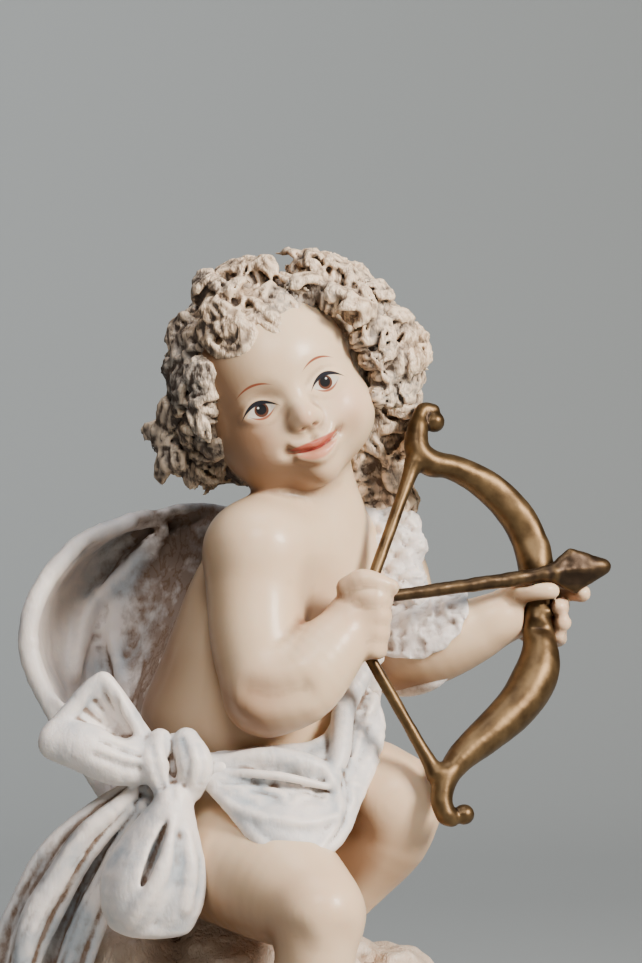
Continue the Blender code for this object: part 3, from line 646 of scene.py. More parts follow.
def flushed(points):
    """Where a touch of rose is brushed on: cheeks, nose, knees, elbow, knuckles and toes."""
    spots = [(*head_point(10.5, 16, -9.5), 5.0, 0.42), (*head_point(-10.5, 16, -9.5), 5.0, 0.42)]
    spots += [(*head_point(0, 22, -8.5), 2.6, 0.4), (*head_point(0, 15, -19.5), 3.5, 0.25)]
    spots += [(*NEAR_KNEE, 9, 0.35), (*FAR_KNEE, 9, 0.35), (-6, -36, 119, 6, 0.35), (*NEAR_FIST, 9, 0.3)]
    spots += [(57, -3, 135, 8, 0.3), (12, -52, 25, 8, 0.4), (12, -20, 54, 8, 0.4), (-6, -20, 149, 10, 0.12)]
    return np.minimum(sprayed(points, spots), 0.6)


def sprayed(points, spots):
    """How much paint soft round spots leave: each its place, its size and its strength."""
    total = np.zeros(len(points))
    for x, y, z, size, strength in spots:
        total += strength * np.exp(-((points - (x, y, z)) ** 2).sum(1) / size**2)
    return total


def painted_shade(clay, points, facing):
    """Painted shade: nooks, sides that look down and away from the light, and the near side of the head."""
    reach = 9
    open_air, _ = clay.sample(points + reach * facing)
    away = facing @ (-0.66, 0.3, -0.69)
    nook = np.clip(1 - open_air / reach, 0, 1)
    shade_amount = nook * np.clip(0.7 + away, 0.2, 1) + 0.98 * np.clip(away + 0.25, 0, 1)
    # painted shade below the chin, at the neck, under the elbow, in the lap and down the side
    shade_amount += sprayed(points, [
        (-7, -24, 173.5, 5.5, 0.62), (14.2, -22, 176.5, 3.4, 0.45), (-8, -33, 115, 7, 0.6),
        (24, -14, 85, 8, 0.6), (-28, -3, 120, 13, 0.6),
    ])
    nose = np.exp(-((points - head_point(0, 20, -7)) ** 2).sum(1) / 36)
    on_head = np.clip(30 - np.linalg.norm(points - HEAD_CENTRE, axis=1), 0, 4) / 4
    near_side = np.clip(facing @ (-0.9, 0.1, -0.25) + 0.2, 0, 0.7)
    return (1 - 0.75 * nose) * shade_amount + 0.9 * (1 - nose) * on_head * near_side


def build_skin():
    """The child's head, body and limbs, painted flesh."""
    clay = Clay((-42, -62, 12), (68, 34, 212), BODY_CELL, ((-19, -29, 160), (19, -9, 204)), FACE_CELL)
    model_head(clay)
    model_features(clay)
    model_torso(clay)
    model_arms(clay)
    model_hands(clay)
    model_legs(clay)
    clear_passages(clay)
    points, faces = clay.skin()
    marks = wash_marks(points, faces, 3, 24)
    marks["on_head"] = (points - HEAD_CENTRE) @ HEAD_AXES.T
    marks["blush"] = flushed(points)
    # Painted shade: how much brown goes where the figure turns from the light and in its nooks
    marks["sprayed_tan"] = painted_shade(clay, points, normals_of(points, faces))
    eyes = [(*head_point(side * EYE_ACROSS, 17.5, EYE_UP), 4.4, 1.7) for side in (-1, 1)]
    marks["eyes"] = np.minimum(sprayed(points, eyes), 1)
    make_piece("cherub_skin", points, faces, "cherub", skin_paint(), marks)


# Hair: tufts of strands laid side by side over small mounds, so each carries its own grooves


def tuft(clay, rows, outward, spacing, radius, melt, phase):
    """Three strands side by side along rows of place and scale, the outer ones lying lower."""
    path = spline(rows, 10)
    runs = np.gradient(path[:, :3], axis=0)
    across = np.cross(runs, outward)
    across /= np.linalg.norm(across, axis=1)[:, None] + 1e-9
    scale = path[:, 3]
    for k, shift in enumerate((-1, 0, 1)):
        sway = shift * spacing + 0.3 * np.sin(np.linspace(0, 5, 10) + phase + 2 * k)
        places = path[:, :3] + across * (sway * scale)[:, None] - np.outer(0.3 * shift**2 * scale, outward)
        clay.limb(np.column_stack([places, radius * scale]), melt, 10)


def clump(clay, centre, outward, size, random, arcs=2):
    """A small mound carved into bending ridges, with tufts that lift at their tips."""
    outward = unit(outward)
    along = unit(np.cross(outward, random.normal(0, 1, 3)))
    beside = np.cross(outward, along)
    slices, places = clay.window(np.subtract(centre, 1.6 * size), np.add(centre, 1.6 * size))
    x, y, z = (place - middle for place, middle in zip(places, centre))
    u, v, w = (float(d[0]) * x + float(d[1]) * y + float(d[2]) * z for d in (along, beside, outward))
    bend, sway = random.uniform(-0.55, 0.55), random.uniform(0, 6)
    lane = (v + bend * u * u / size + 0.14 * size * np.sin(u * 2.8 / size + sway) + 0.3 * w) / (0.43 * size)
    ridge = 1 - np.abs(2 * (lane - np.round(lane))) ** 1.3
    distance = np.sqrt(u * u + 1.15 * v * v + w * w) - size * (0.74 + 0.25 * ridge)
    clay.merge(slices, distance.astype(np.float32), 0.4)
    for k in range(arcs):
        turn = (k - (arcs - 1) / 2) * 0.9 + random.uniform(-0.35, 0.35)
        lead = along * math.cos(turn) + beside * math.sin(turn)
        foot = np.asarray(centre) + beside * (k - (arcs - 1) / 2) * 0.6 * size
        start, stop = random.uniform(-1.0, -0.5), random.uniform(1.1, 1.7)
        lift = random.uniform(0.05, 0.4)
        swerve = random.uniform(-0.8, 0.8) * size
        rows = []
        for share in np.linspace(0, 1, 6):
            angle = start + (stop - start) * share
            reach = size * (0.92 + lift * share**2)
            place = foot + reach * (math.sin(angle) * lead + math.cos(angle) * outward)
            place = place + beside * swerve * share**2
            rows.append((*place, 0.7 + 0.4 * math.sin(math.pi * share) - 0.45 * share**2))
        tuft(clay, rows, outward, 0.26 * size, 0.19 * size, 0.3, random.uniform(0, 6))


def is_hair(a, b, c):
    """Whether a direction from the middle of the head meets hair: not the face, not the nape."""
    fringe = 0.52 if a > 0.1 else 0.42
    face = b > 0.42 + 0.25 * max(c, 0) and c < fringe
    return not face and c > -0.72 and not (b > 0.1 and c < -0.55)


def build_hair():
    """The curls: a scalp, mounds spread over it, and those that hang at the neck and stand at the temples."""
    clay = Clay((-42, -36, 144), (44, 32, 222), HAIR_CELL)
    random = np.random.default_rng(11)
    clay.ball(head_point(2, -5, 3.5), (21.5, 19.5, 20.5), 0, HEAD_AXES)
    clay.ball(head_point(13, -4, 1), (15.5, 13, 15), 2, HEAD_AXES)
    clay.ball(head_point(-9, -4, 0), (13.5, 13, 14), 2, HEAD_AXES)
    clay.ball(head_point(2, 5, 13), (13, 11, 8), 3, HEAD_AXES)
    for a, b, c in sphere_places(bpy.context.scene.cherub.locks, 0.5, 0):
        if not is_hair(a, b, c):
            continue
        size = random.uniform(4.0, 5.4)
        reach = 24.6 if a > 0 else 21.5 - 5 * max(c, 0)
        high = random.uniform(-1.5, 0.9) + (1.2 if b < 0.3 and abs(a + 0.1) < 0.5 and c > 0.5 else 0)
        place = np.array([2.5 + (reach + high) * a, -4.5 + (19.0 + high) * b, 2.5 + (20.6 + high) * c])
        if b > -0.45 and math.hypot(place[0] - 10.5, place[2] - 21) < 4.5:
            clay.ball(head_point(*(place * 0.8)), 5.5, 2)
            continue
        clump(clay, head_point(*place), a * HEAD_ACROSS + b * HEAD_FORWARD + c * HEAD_UP, size, random)
    crown = (
        (5, 23.5, 5.6), (-3.5, 21.5, 5.4), (18.5, 19.0, 5.6), (24.5, 13, 5.4), (27, 3, 5.8), (27.2, -5, 5.6),
        (-15.5, 10, 5.2), (-11, 17, 5.2),
    )
    for a, c, size in crown:
        clump(clay, head_point(a, 1.5, c), unit((a - 2.5, 8, c - 2.5)) @ HEAD_AXES, size, random, 3)
    temple = (
        (-18.2, -17, 188.4, 4.4), (-17.4, -18.5, 183.6, 4.2), (-18.2, -17, 179.6, 4.2),
        (-22.6, -7, 185.4, 4.8), (-21.4, -9, 192.4, 4.6), (-17.6, -13.5, 192.6, 3.8),
        (-16.4, -12.5, 177.6, 3.6),
    )
    for x, y, z, size in temple:
        clump(clay, (x, y, z), (-0.35, -0.9, 0.1), size, random)
    forehead_locks(clay)
    for k in range(15):
        share = k / 14
        middle = np.array([22.6 - 4.2 * share, 7 + 5 * share, 187 - 33 * share])
        swing = 4.6 * math.sin(2.4 * k)
        clay.ball(middle, (6, 5.4, 4), 2)
        clump(clay, middle + (swing, -2.5, 0), (0.2 * swing, -0.9, 0.1), random.uniform(3.8, 4.6), random)
    nape = (
        (-26.8, 0, 175.6, 4.8), (-24, -1, 170.2, 4.8), (-19, -2.5, 166.6, 4.4), (-24.5, -3, 180.5, 4.6),
        (-22, 4, 172, 5), (-15.5, -3.4, 169.6, 4.2),
    )
    for x, y, z, size in nape:
        clay.ball((x + 3, y + 3, z + 2), 4.6, 2)
        clump(clay, (x, y, z), (-0.5, -0.85, -0.1), size, random)
    # holes drilled between the curls
    for a, b, c in sphere_places(90, 0.37, 1):
        if is_hair(a, b, c):
            low, high = (head_point(2.5 + r * a, -4.5 + 0.86 * r * b, 2.5 + 0.9 * r * c) for r in (22.5, 32))
            clay.limb([(*low, 0.6), (*high, random.uniform(0.7, 1.3))], 0.8, 2, carve=True)
    clay.roughen(lambda p: 0.7 * (crinkle(p, 3.0, 21) - 0.6) + 0.42 * (crinkle(p, 1.5, 27) - 0.5))
    points, faces = clay.skin(1)
    # Painted shade: more wash on the sides that look down and away from the light, a little less elsewhere
    below = np.clip(normals_of(points, faces) @ (-0.8, 0.1, -0.5) + 0.2, 0, 1)
    marks = wash_marks(points, faces, 3, 16, 0.28 * below - 0.04)
    make_piece("cherub_hair", points, faces, "cherub", hair_paint(), marks)


def sphere_places(count, start, turn):
    """Directions spread evenly over a sphere, from the top down."""
    for k in range(count):
        c = 1 - 2 * (k + start) / count
        ring = math.sqrt(1 - c * c)
        yield ring * math.cos(k * GOLDEN_ANGLE + turn), ring * math.sin(k * GOLDEN_ANGLE + turn), c


def forehead_locks(clay):
    """The mounds over the forehead and temples, and the locks that fall from them."""
    random = np.random.default_rng(23)
    places = (
        (-11.6, -19.5, 196.6, 4.6), (-15.0, -16.5, 200.6, 4.6), (-16.4, -9.5, 206.0, 4.8),
        (-9.8, -7, 210.2, 3.6), (-12.4, -14.5, 204.4, 4.2), (-21.5, -8, 197.4, 4.8),
        (-18.4, -13.5, 194.4, 4.2), (-22.6, -7, 188.4, 4.4), (4.5, -12.5, 206.6, 4.6),
        (9.9, -9.5, 208.6, 4.8), (2.4, -6, 210.4, 4.2), (9.6, -15.6, 203.9, 3.8),
        (14.9, -16.2, 201.8, 4.2), (18.6, -8, 204.6, 4.2), (18.8, -13.5, 196.8, 4.2),
        (22.9, -8, 197.6, 4.8), (24.0, -9.5, 190.9, 4.8), (20.9, -12.5, 191.8, 3.8),
        (26.2, -4, 194.2, 4.6), (22.9, -9, 184.2, 4.4), (20.0, -11.8, 187.4, 3.4),
        (15.8, -15.2, 195.6, 3.2), (17.8, -14.2, 191.4, 3.2), (19.4, -12.8, 183.4, 3.2),
    )
    for x, y, z, size in places:
        clump(clay, (x, y, z), np.array([x + 3, 1.4 * y, z - 186.0]), size, random)
    locks = (
        [
            (-10.5, -16, 205.5, 0.9), (-8.4, -20, 203, 1.2), (-5.0, -22.4, 200, 1.25),
            (-1.4, -22.8, 197.8, 0.9), (2.2, -22.2, 196.4, 0.35),
        ],
        [
            (-13, -18, 202, 1.0), (-10.6, -22, 199.6, 1.3), (-9.6, -24, 196.6, 1.3), (-11.2, -24, 193.6, 1.1),
            (-13.4, -23, 192.4, 0.5),
        ],
        [
            (-16.5, -15, 203, 0.9), (-17.6, -19, 199, 1.2), (-16.6, -21.6, 195, 1.2),
            (-13.6, -23, 192.2, 0.9), (-10.4, -23.4, 192.4, 0.5),
        ],
        [
            (8, -14, 207, 0.9), (11.6, -18, 206, 1.1), (15.4, -19.6, 203.6, 1.1), (16.4, -20, 200.2, 0.8),
            (14.2, -20, 198.6, 0.4),
        ],
    )
    for k, rows in enumerate(locks):
        tuft(clay, rows, unit(np.array(rows[2][:3]) - HEAD_CENTRE), 1.35, 0.9, 0.7, 1.3 * k)


# The bow, its string and the arrow


def bow_rows():
    """The bow's own line from the upper scroll through the grip to the lower scroll: place and radius."""
    line = [
        (32.4, 177.9, 1.9), (31.8, 180.4, 1.5), (29.6, 180.5, 1.6), (28.3, 177.4, 1.8), (28, 172.6, 2.3),
        (30.2, 168.9, 2.6), (36.4, 167.6, 2.9), (43.9, 163.6, 3.5), (50.1, 157.4, 3.9), (53.4, 151, 3.9),
        (54.6, 146.2, 3.7), (54.6, 138.5, 2.9), (54.5, 131.6, 2.7), (55.1, 126.6, 4.2), (53.8, 121.6, 5.0),
        (49.6, 115.5, 4.7), (43, 109.8, 4.0), (36.8, 104.8, 3.1), (33.2, 99.4, 2.1), (32.7, 95.2, 1.7),
        (35, 92.4, 1.7), (37.8, 93.2, 2),
    ]
    return along_bow(*line)


def along_bow(*line):
    """Rows in the bow's plane from across, up and radius."""
    return [(*bow_point(x, z), radius) for x, z, radius in line]


def arrow_rows():
    """The shaft from the nock to the root of its head, and the head's tip; it passes in front of the bow."""
    nock = bow_point(*ARROW_NOCK)
    front = bow_point(GRIP[0], 146.2)[1] - 1.09 * (3.7 + 1.4 * 1.3) - 0.5
    run = (front - nock[1]) / (GRIP[0] - ARROW_NOCK[0])
    rows = []
    for share in (0, 0.376, 0.752, 1):
        x = ARROW_NOCK[0] + share * (ARROW_TIP[0] - ARROW_NOCK[0])
        z = ARROW_NOCK[1] + share * (ARROW_TIP[1] - ARROW_NOCK[1])
        rows.append((x, nock[1] + run * (x - ARROW_NOCK[0]), z, 1.3 * (1 + 0.45 * share)))
    return rows


def build_bow():
    """The bow with its scrolled ends, and the string cast on it as two bars that run into the limbs."""
    clay = Clay((8, -46, 86), (64, 2, 186), BOW_CELL)
    rows = bow_rows()
    clay.limb(rows[1:-1], 0, 110)
    upper, lower = bow_point(32.0, 177.9), bow_point(37.6, 93.2)
    clay.ball(upper, 2.35, 0.7)
    clay.ball(lower, 2.25, 0.7)
    clay.limb(along_bow((28.4, 176.5, 2.1), (28.2, 171.5, 2.7), (31.5, 168.6, 2.8)), 1.2, 6)
    clay.limb(along_bow((33.4, 101.5, 2.6), (32.8, 96.4, 2.2), (33.6, 93.2, 2.1)), 1.2, 6)
    nock = bow_point(*STRING_NOCK)
    for end in (STRING_TOP, STRING_FOOT):
        start = bow_point(*end)
        run = nock - start
        shares = (0, 0.06, 0.2, 0.5, 0.8, 1)
        radii = (2.3, 1.7, 1.4, 1.3, 1.35, 1.4)
        clay.limb([(*(start + run * share), r) for share, r in zip(shares, radii)], 1.0, 14)
    # the worn facets of the limbs, the lump below the thumb and the collar of the lower limb
    clay.ball(bow_point(55.4, 135.8) + (0.6, -1.0, 0), (2.3, 2.1, 1.6), 0.6)
    clay.limb(along_bow((54.7, 133.4, 2.9), (54.9, 131.0, 3.5), (55.2, 129.4, 3.5)), 0.6, 5)
    clay.ball(bow_point(55.2, 132.6) + (0.4, -3.7, 0), (2.4, 0.9, 0.6), 2.4, carve=True)
    clay.limb(along_bow((53.8, 149.6, 4.0), (54.6, 145.6, 4.0)), 0.5, 3)
    for x, z, size in ((47, 161.5, 7), (52.5, 153, 7)):
        clay.ball(bow_point(x, z) + (0.5, -11.4, 1.5), (size, 7.7, size), 3.0, carve=True)
    clay.roughen(lambda p: 0.08 * grain(p, 4.2, 3) + 0.04 * grain(p, 1.3, 4), 2)
    points, faces = clay.skin(2)
    marks = wash_marks(points, faces, 6, 40)
    make_piece("bow_with_string", points, faces, "bow", bronze_paint(), marks)


def build_arrow():
    """The shaft and its heart-shaped head, modelled as one."""
    rows = arrow_rows()
    root, tip = (np.array(row[:3]) for row in rows[2:])
    run = unit(tip - root)
    up = unit(np.array([0, 0, 1]) - run * run[2])
    clay = Clay((14, -34, 132), (78, 2, 156), ARROW_CELL)
    clay.limb(rows[:3], 0, 12)
    nock = np.array(rows[0][:3])
    clay.limb([(*(nock - run * 1.2), 1.5), (*(nock + run * 1.6), 1.45)], 0.6, 2)
    clay.limb([(*(root - run * 1.6), 2.0), (*(root - run * 0.4), 2.3)], 0.8, 2)
    for side in (-1, 1):
        corner = root + run * 4.6 + up * side * 3.9
        barb = root + run * 0.6 + up * side * 0.9, corner, tip - run * 1.4 + up * side * 0.4
        clay.limb([(*place, radius) for place, radius in zip(barb, (1.5, 1.15, 1.35))], 0.8, 3)
        clay.limb([(*(corner - up * side * 1.6), 1.8), (*(tip - run * 2.5), 1.6)], 0.8, 2)
    clay.limb([(*(root + run * 1), 1.9), (*(root + run * 5), 2.5), (*(tip - run), 1.2)], 1.2, 8)
    for side in (-1, 1):
        dent = root + run * 6.4 + up * side * 2.0 - np.array([0, 4.5, 0])
        clay.ball(dent, (3.8, 2.2, 1.5), 2.0, carve=True)
    clay.roughen(lambda p: 0.12 * grain(p, 2.4, 5) + 0.06 * grain(p, 1.0, 6))
    points, faces = clay.skin()
    marks = wash_marks(points, faces, 6, 20)
    marks["wash_fine"] = 0.4 * marks["wash_fine"] + 0.16
    make_piece("arrow_shaft_and_head", points, faces, "arrow", bronze_paint(), marks)


# The scarf: cast sheets and gathered strands


def crinkle(points, size, seed):
    """Sharp-crested ripples from 0 to 1, like cloth dried stiff."""
    bent = points + 0.5 * size * np.stack([grain(points, 2.2 * size, seed + k) for k in (1, 2, 3)], axis=1)
    return 1 - np.abs(grain(bent, size, seed)) ** 0.6


def build_sail():
    """The part of the scarf that billows out behind the back, with its rolled rim."""
    rows = [
        [(-26, 8, 100), (-33, 14, 97), (-38, 10, 94), (-41.1, 0, 94.9)],
        [(-29, 12, 115), (-42, 25, 112), (-51, 18, 112), (-53.5, 3, 114.8)],
        [(-24, 15, 128), (-42, 31, 127), (-54, 24, 127), (-58.6, 6, 127)],
        [(-17, 18, 140), (-39, 33, 141), (-51, 27, 141), (-57, 8, 138)],
        [(-10, 19, 150), (-31, 31, 152), (-43, 27, 152), (-48.4, 13, 150)],
        [(-6, 19, 156), (-20, 26, 158.5), (-31, 26, 158.5), (-37, 19, 155.5)],
    ]
    clay = Clay((-68, -10, 86), (34, 42, 168), SAIL_CELL)

    def billow(u, v, places):
        soft = grain(places.reshape(-1, 3) * (1, 1, 0.5), 8, 33).reshape(u.shape)
        fine = crinkle(places.reshape(-1, 3) * (1, 1, 0.45), 3.4, 35).reshape(u.shape)
        waves = 1.2 * np.sin(3 * math.pi * (u + 0.8 * v)) * np.sin(math.pi * v) ** 0.5
        return waves + 0.8 * soft + 0.35 * fine

    clay.cloth(rows, 2.4, billow, (190, 140), 0)
    rim = [(*row[-1], radius) for row, radius in zip(rows, (1.3, 2.0, 2.3, 2.1, 1.9, 1.4))]
    clay.limb(rim, 2.4, 30)
    clay.limb([(x + 3.2, y + 1.4, z, 0.8) for x, y, z, _ in rim[1:5]], 2.0, 22, carve=True)
    # folds of the billow, and a torn flake at the foot of its rim
    clay.limb([(-29, 25.5, 153, 0.6), (-37, 29.5, 144, 1.9), (-41, 28, 130, 1.9), (-39, 23, 119, 0.7)], 5, 16)
    clay.limb([(-33, 27, 149, 0.5), (-46, 27, 136, 1.3), (-49, 22, 121, 0.5)], 5, 14)
    clay.limb([(-52, 1, 116, 0.6), (-47, 0.5, 111, 1.5), (-43.5, 1, 106.5, 0.7)], 1.6, 10)
    clay.limb([(-55.5, 4, 119, 0.5), (-50, 3.4, 114.5, 0.8), (-45, 4, 111, 0.5)], 1.0, 10, carve=True)
    strip = [
        (-24, 28, 152.5, 1.6), (-6, 21, 154.5, 3.8), (8, 17, 155, 4.0), (18, 15, 154, 4.0),
        (24.5, 11, 148, 3.9), (27.5, 5, 139, 3.9),
    ]
    clay.limb(strip, 2.5, 24)
    random = np.random.default_rng(5)
    for k in range(22):
        share = k / 21
        middle = np.array([15 + 13.5 * (k * 0.618 % 1), 6 - 7 * share, 157.5 - 19 * share])
        middle[1] -= 0.12 * (middle[0] - 20)
        clay.ball(middle + (-0.4, 2.6, -0.4), 3.6, 1.5)
        clump(clay, middle, (0.2, -0.9, 0.35), random.uniform(2.8, 3.6), random, 0)

    def worn(p):
        over_shoulder = np.clip((p[:, 0] - 10) / 5, 0, 1)
        return (0.3 + 0.8 * over_shoulder) * (crinkle(p, 2.6, 41) - 0.55)

    clay.roughen(worn)
    points, faces = clay.skin(2)
    # Painted shade: brown wash darker towards the body and over the outside of the rim, where it faces away
    # from the light, and painted light, less wash, towards the rim's inner face
    marks = {label: 0.45 * values for label, values in wash_marks(points, faces, 3, 30).items()}
    inner = np.clip((points[:, 0] + 45) / 17, -0.6, 1) * np.clip((10 - points[:, 0]) / 8, 0, 1)
    outside = np.clip(normals_of(points, faces) @ (-0.9, 0.4, 0.1) - 0.35, 0, 1) * (points[:, 0] < -30)
    marks["wash_fine"] += 0.24 * inner + 0.5 * outside
    make_piece("scarf_sail", points, faces, "cherub", scarf_paint(), marks)


def build_wrap():
    """The crumpled turns of the scarf round the far forearm."""
    clay = Clay((10, -18, 112), (50, 22, 148), CLOTH_CELL)
    random = np.random.default_rng(9)
    core = [
        (20, 6.4, 127.6, 10.5), (25, 4, 128, 10.6), (31.5, 0.4, 128.6, 10.1), (40, -1.7, 131.6, 8.4),
        (44, -2.7, 133, 7),
    ]
    clay.limb(core, 0, 14)
    for k in range(44):
        share = (k + 0.5) / 44
        angle = k * GOLDEN_ANGLE
        x = 19.5 + (20.5 - 3.5 * math.sin(angle)) * share
        middle = np.array([x, 5.6 - 0.44 * (x - 20), 128.2 + 0.17 * (x - 20)])
        outward = np.array([0.1, math.cos(angle), math.sin(angle)])
        size = random.uniform(2.6, 3.8)
        reach = 9.9 - 0.13 * max(x - 28, 0) ** 1.1 - 0.9 * size
        clump(clay, middle + outward * reach, outward, size, random, 0)
    clay.roughen(lambda p: 1.2 * (crinkle(p, 2.8, 61) - 0.5) + 0.5 * (crinkle(p, 1.5, 67) - 0.5))
    # The border runs in a wavy arc; a smooth roll edges it below, and the arm's room is left free
    x, z = clay.axes[0][:, None, None], clay.axes[2][None, None, :]
    clay.field = np.maximum(clay.field, np.hypot(x - 26, z - 139) - 13.5 + 0.25 * np.sin(0.8 * x + 1.1 * z))
    clay.limb([(18, 8, 119.6, 1.7), (25, 3, 118.6, 2.1), (31, -1.5, 119.8, 1.7), (35, -3, 121.6, 0.6)], 2, 14)
    clay.limb([(12, 9, 127.5, 9.2), (20, 7.4, 127.6, 8.8), (44, -2.2, 133.2, 5.2)], 0.4, 8, carve=True)
    points, faces = clay.skin(2)
    marks = wash_marks(points, faces, 3, 16)
    # A little more wash all over, and painted shade: more along the bottom, under the arm
    marks["wash_fine"] = 0.5 * marks["wash_fine"] + 0.10 + 0.1 * np.clip((123 - points[:, 2]) / 3, 0, 1)
    make_piece("scarf_wrap", points, faces, "cherub", scarf_paint(), marks)


def build_lap():
    """The cloth over the lap, with a rolled lip, a crumpled hollow and a smooth scoop, and the waist band."""
    rows = [
        [(-19, -25, 104.8), (-18, -28.2, 102.6), (-17, -28.6, 100.6)],
        [(-12, -23, 105.5), (-12.0, -30, 100.6), (-12, -32, 95.6)],
        [(-4, -23, 106.5), (-4, -32.4, 97.4), (-4.6, -36.6, 87.8)],
        [(4, -21, 107), (4, -30.6, 97), (3, -37, 85.8)],
        [(9.5, -17.5, 110), (11, -25, 99), (10, -31.5, 88.6)],
        [(12.5, -12.5, 115), (15.5, -17.6, 105.6), (14, -24, 96)],
        [(16, -9.5, 119), (19.5, -12.5, 112), (18, -17.5, 104)],
    ]
    clay = Clay((-42, -46, 78), (32, 30, 128), CLOTH_CELL)

    def gathered(u, v, places):
        flat = places.reshape(-1, 3)
        band = np.clip((flat[:, 0] + 17) / 10, 0, 1) * np.clip((17 - flat[:, 0]) / 6, 0, 1)
        middle = (band * np.exp(-(((flat[:, 2] - 98.2 - 0.12 * flat[:, 0]) / 4.0) ** 2))).reshape(u.shape)
        crumple = (crinkle(flat * (0.7, 1, 1.2), 2.3, 73) - 0.5).reshape(u.shape)
        ray = np.sin(math.pi * (7 * (v - 0.5) / (0.3 + u) + 0.5 * grain(flat, 9, 3).reshape(u.shape)))
        scoop = -0.9 * np.sin(math.pi * np.clip((v - 0.5) / 0.45, 0, 1)) * np.sin(math.pi * u)
        return 0.9 * middle - 1.3 * middle * crumple + 0.16 * ray * (1 - middle) + scoop

    clay.cloth(rows, 3.0, gathered, (160, 100), 0)
    hem = [(*row[-1], radius) for row, radius in zip(rows, (1.0, 1.2, 1.4, 1.4, 1.3, 1.2, 1.1))]
    clay.limb(hem, 1.4, 30)
    rolls = (
        ([
            (-17, -27.0, 104.2, 1.1), (-10, -28.6, 105.6, 1.7), (-3, -28.8, 106, 2.1), (4, -28.2, 104.4, 2.2),
            (8.6, -26.8, 102.4, 1.7),
        ], 3.2, 16),
        ([
            (-16, -28.8, 102.4, 0.7), (-8, -31.4, 102.6, 0.9), (0, -31.6, 101.8, 1.0), (8, -29.4, 99.6, 0.7),
        ], 1.0, 16),
        ([
            (9.2, -27.4, 100.2, 1.4), (11, -23, 106.5, 2.3), (11.8, -17, 114.5, 2.4), (15.4, -12, 121.5, 2.2),
            (19, -8, 126, 1.8),
        ], 1.4, 16),
        ([(13.5, -20, 104, 0.8), (15, -16.5, 110, 1.3), (18.6, -11.5, 117.5, 1.3)], 1.2, 10),
    )
    for roll, melt, count in rolls:
        clay.limb(roll, melt, count)
    clay.ridge([(7.5, 103.5, 0.4), (10.6, 97.5, 0.9), (9.4, 91, 0.8), (5.8, 86.6, 0.4)], 1.2, -0.25)
    clay.groove([(11.6, 103, 0.3), (13.0, 97.5, 0.6), (11.8, 92, 0.5), (8.6, 88, 0.2)], 0.8, 0)
    clay.groove([(-14.6, 100.8, 0.3), (-8, 100.6, 0.6), (0, 99.8, 0.7), (7, 97.6, 0.4)], 0.7, 0)
    scoop_edge = [(-15.6, 98.6, 0.6), (-11, 95.6, 0.9), (-4, 93.6, 1.0), (4, 92.6, 0.9), (10, 93.6, 0.5)]
    clay.ridge(scoop_edge, 1.4, -0.2)
    clay.limb([(12.4, -21, 103.5, 0.5), (14, -19, 109, 0.7), (16.6, -14, 115.5, 0.5)], 0.8, 10, carve=True)
    band = []
    for k in range(9):
        angle = math.radians(-125 - 28 * k)
        x, y = -9.5 + 23.4 * math.cos(angle), 2 + 20.5 * math.sin(angle)
        band.append((x, y, 103.5 + 0.5 * k + 3 * (k == 8), 3.2))
    band += [(16.6, -1.5, 116, 3.2), (18.0, -6.5, 122, 2.6)]
    clay.limb(band, 1, 34)
    for shift in (-1.6, 1.2):
        strand = []
        for k, (x, y, z, _) in enumerate(band):
            strand.append((x * 1.02, y * 1.03, z + shift + 0.4 * math.sin(2 * k), 1.5))
        clay.limb(strand, 0.6, 34)

    def worn(points):
        behind = points[:, 1] > -18
        return (0.2 + 0.35 * behind) * (crinkle(points, 2.4, 81) - 0.55)

    clay.roughen(worn)
    points, faces = clay.skin(2)
    marks = wash_marks(points, faces, 3, 20)
    make_piece("scarf_lap", points, faces, "cherub", scarf_paint(), marks)


def build_knot():
    """The knot on the near hip with its two loops and two tails."""
    clay = Clay((-72, -44, 42), (-8, -8, 130), CLOTH_CELL)
    model_tails(clay)
    model_high_loop(clay)
    model_low_loop(clay)
    model_knot(clay)
    clay.roughen(lambda p: 0.14 * (crinkle(p, 3.2, 91) - 0.6) + 0.06 * grain(p, 1.4, 95))
    points, faces = clay.skin(2)
    # Painted shade: more wash on the tails at the lower left, fading towards the front
    tails = np.clip((-35 - points[:, 0]) / 6, 0, 1) * np.clip((104 - points[:, 2]) / 8, 0, 1)
    marks = wash_marks(points, faces, 3, 20, 0.13 * tails * np.clip((points[:, 1] + 30.5) / 4, 0, 1))
    make_piece("scarf_knot", points, faces, "cherub", scarf_paint(), marks)


def model_tails(clay):
    """The two tails, each a pleated sheet between rolled edges."""
    outer = [
        [(-31, -24, 101), (-33, -26, 98), (-34, -26, 95)],
        [(-42, -23, 94), (-42.5, -27, 90), (-42, -25, 85.5)],
        [(-52, -21, 85), (-50.5, -25.5, 80), (-48, -23, 75)],
        [(-60, -19, 72), (-57, -24, 67), (-54, -22, 62.5)],
        [(-65, -17, 57), (-61, -21, 53), (-57.5, -20, 50)],
    ]
    inner = [
        [(-30, -24, 98), (-31, -25.5, 95), (-30.5, -25, 92)],
        [(-39, -19, 88), (-38, -23.5, 84), (-36, -23, 80)],
        [(-46, -16, 76), (-44, -21, 72), (-41, -21, 68)],
        [(-52, -15, 62), (-49, -20, 58), (-45.5, -20, 54)],
        [(-53, -14, 52), (-49, -18, 49), (-45, -18, 47)],
    ]

    def pleated(u, v, places):
        wander = grain(places.reshape(-1, 3), 15, 9).reshape(u.shape)
        fold = np.sin(2 * math.pi * (1.6 * v + 0.45 * wander + 0.2))
        unrolled = np.stack([v * 26 + 2 * wander, u * 9, 0 * u], axis=2)
        fine = crinkle(unrolled.reshape(-1, 3), 2.6, 13).reshape(u.shape)
        return 0.9 * fold + 0.55 * (fine - 0.5)

    clay.cloth(inner, 2.4, pleated, (110, 50), 0)
    clay.cloth(outer, 2.4, pleated, (110, 50), 0.4)
    for rows in (outer, inner):
        for side in (0, -1):
            clay.limb([(*row[side], 1.15) for row in rows], 1.2, 20)


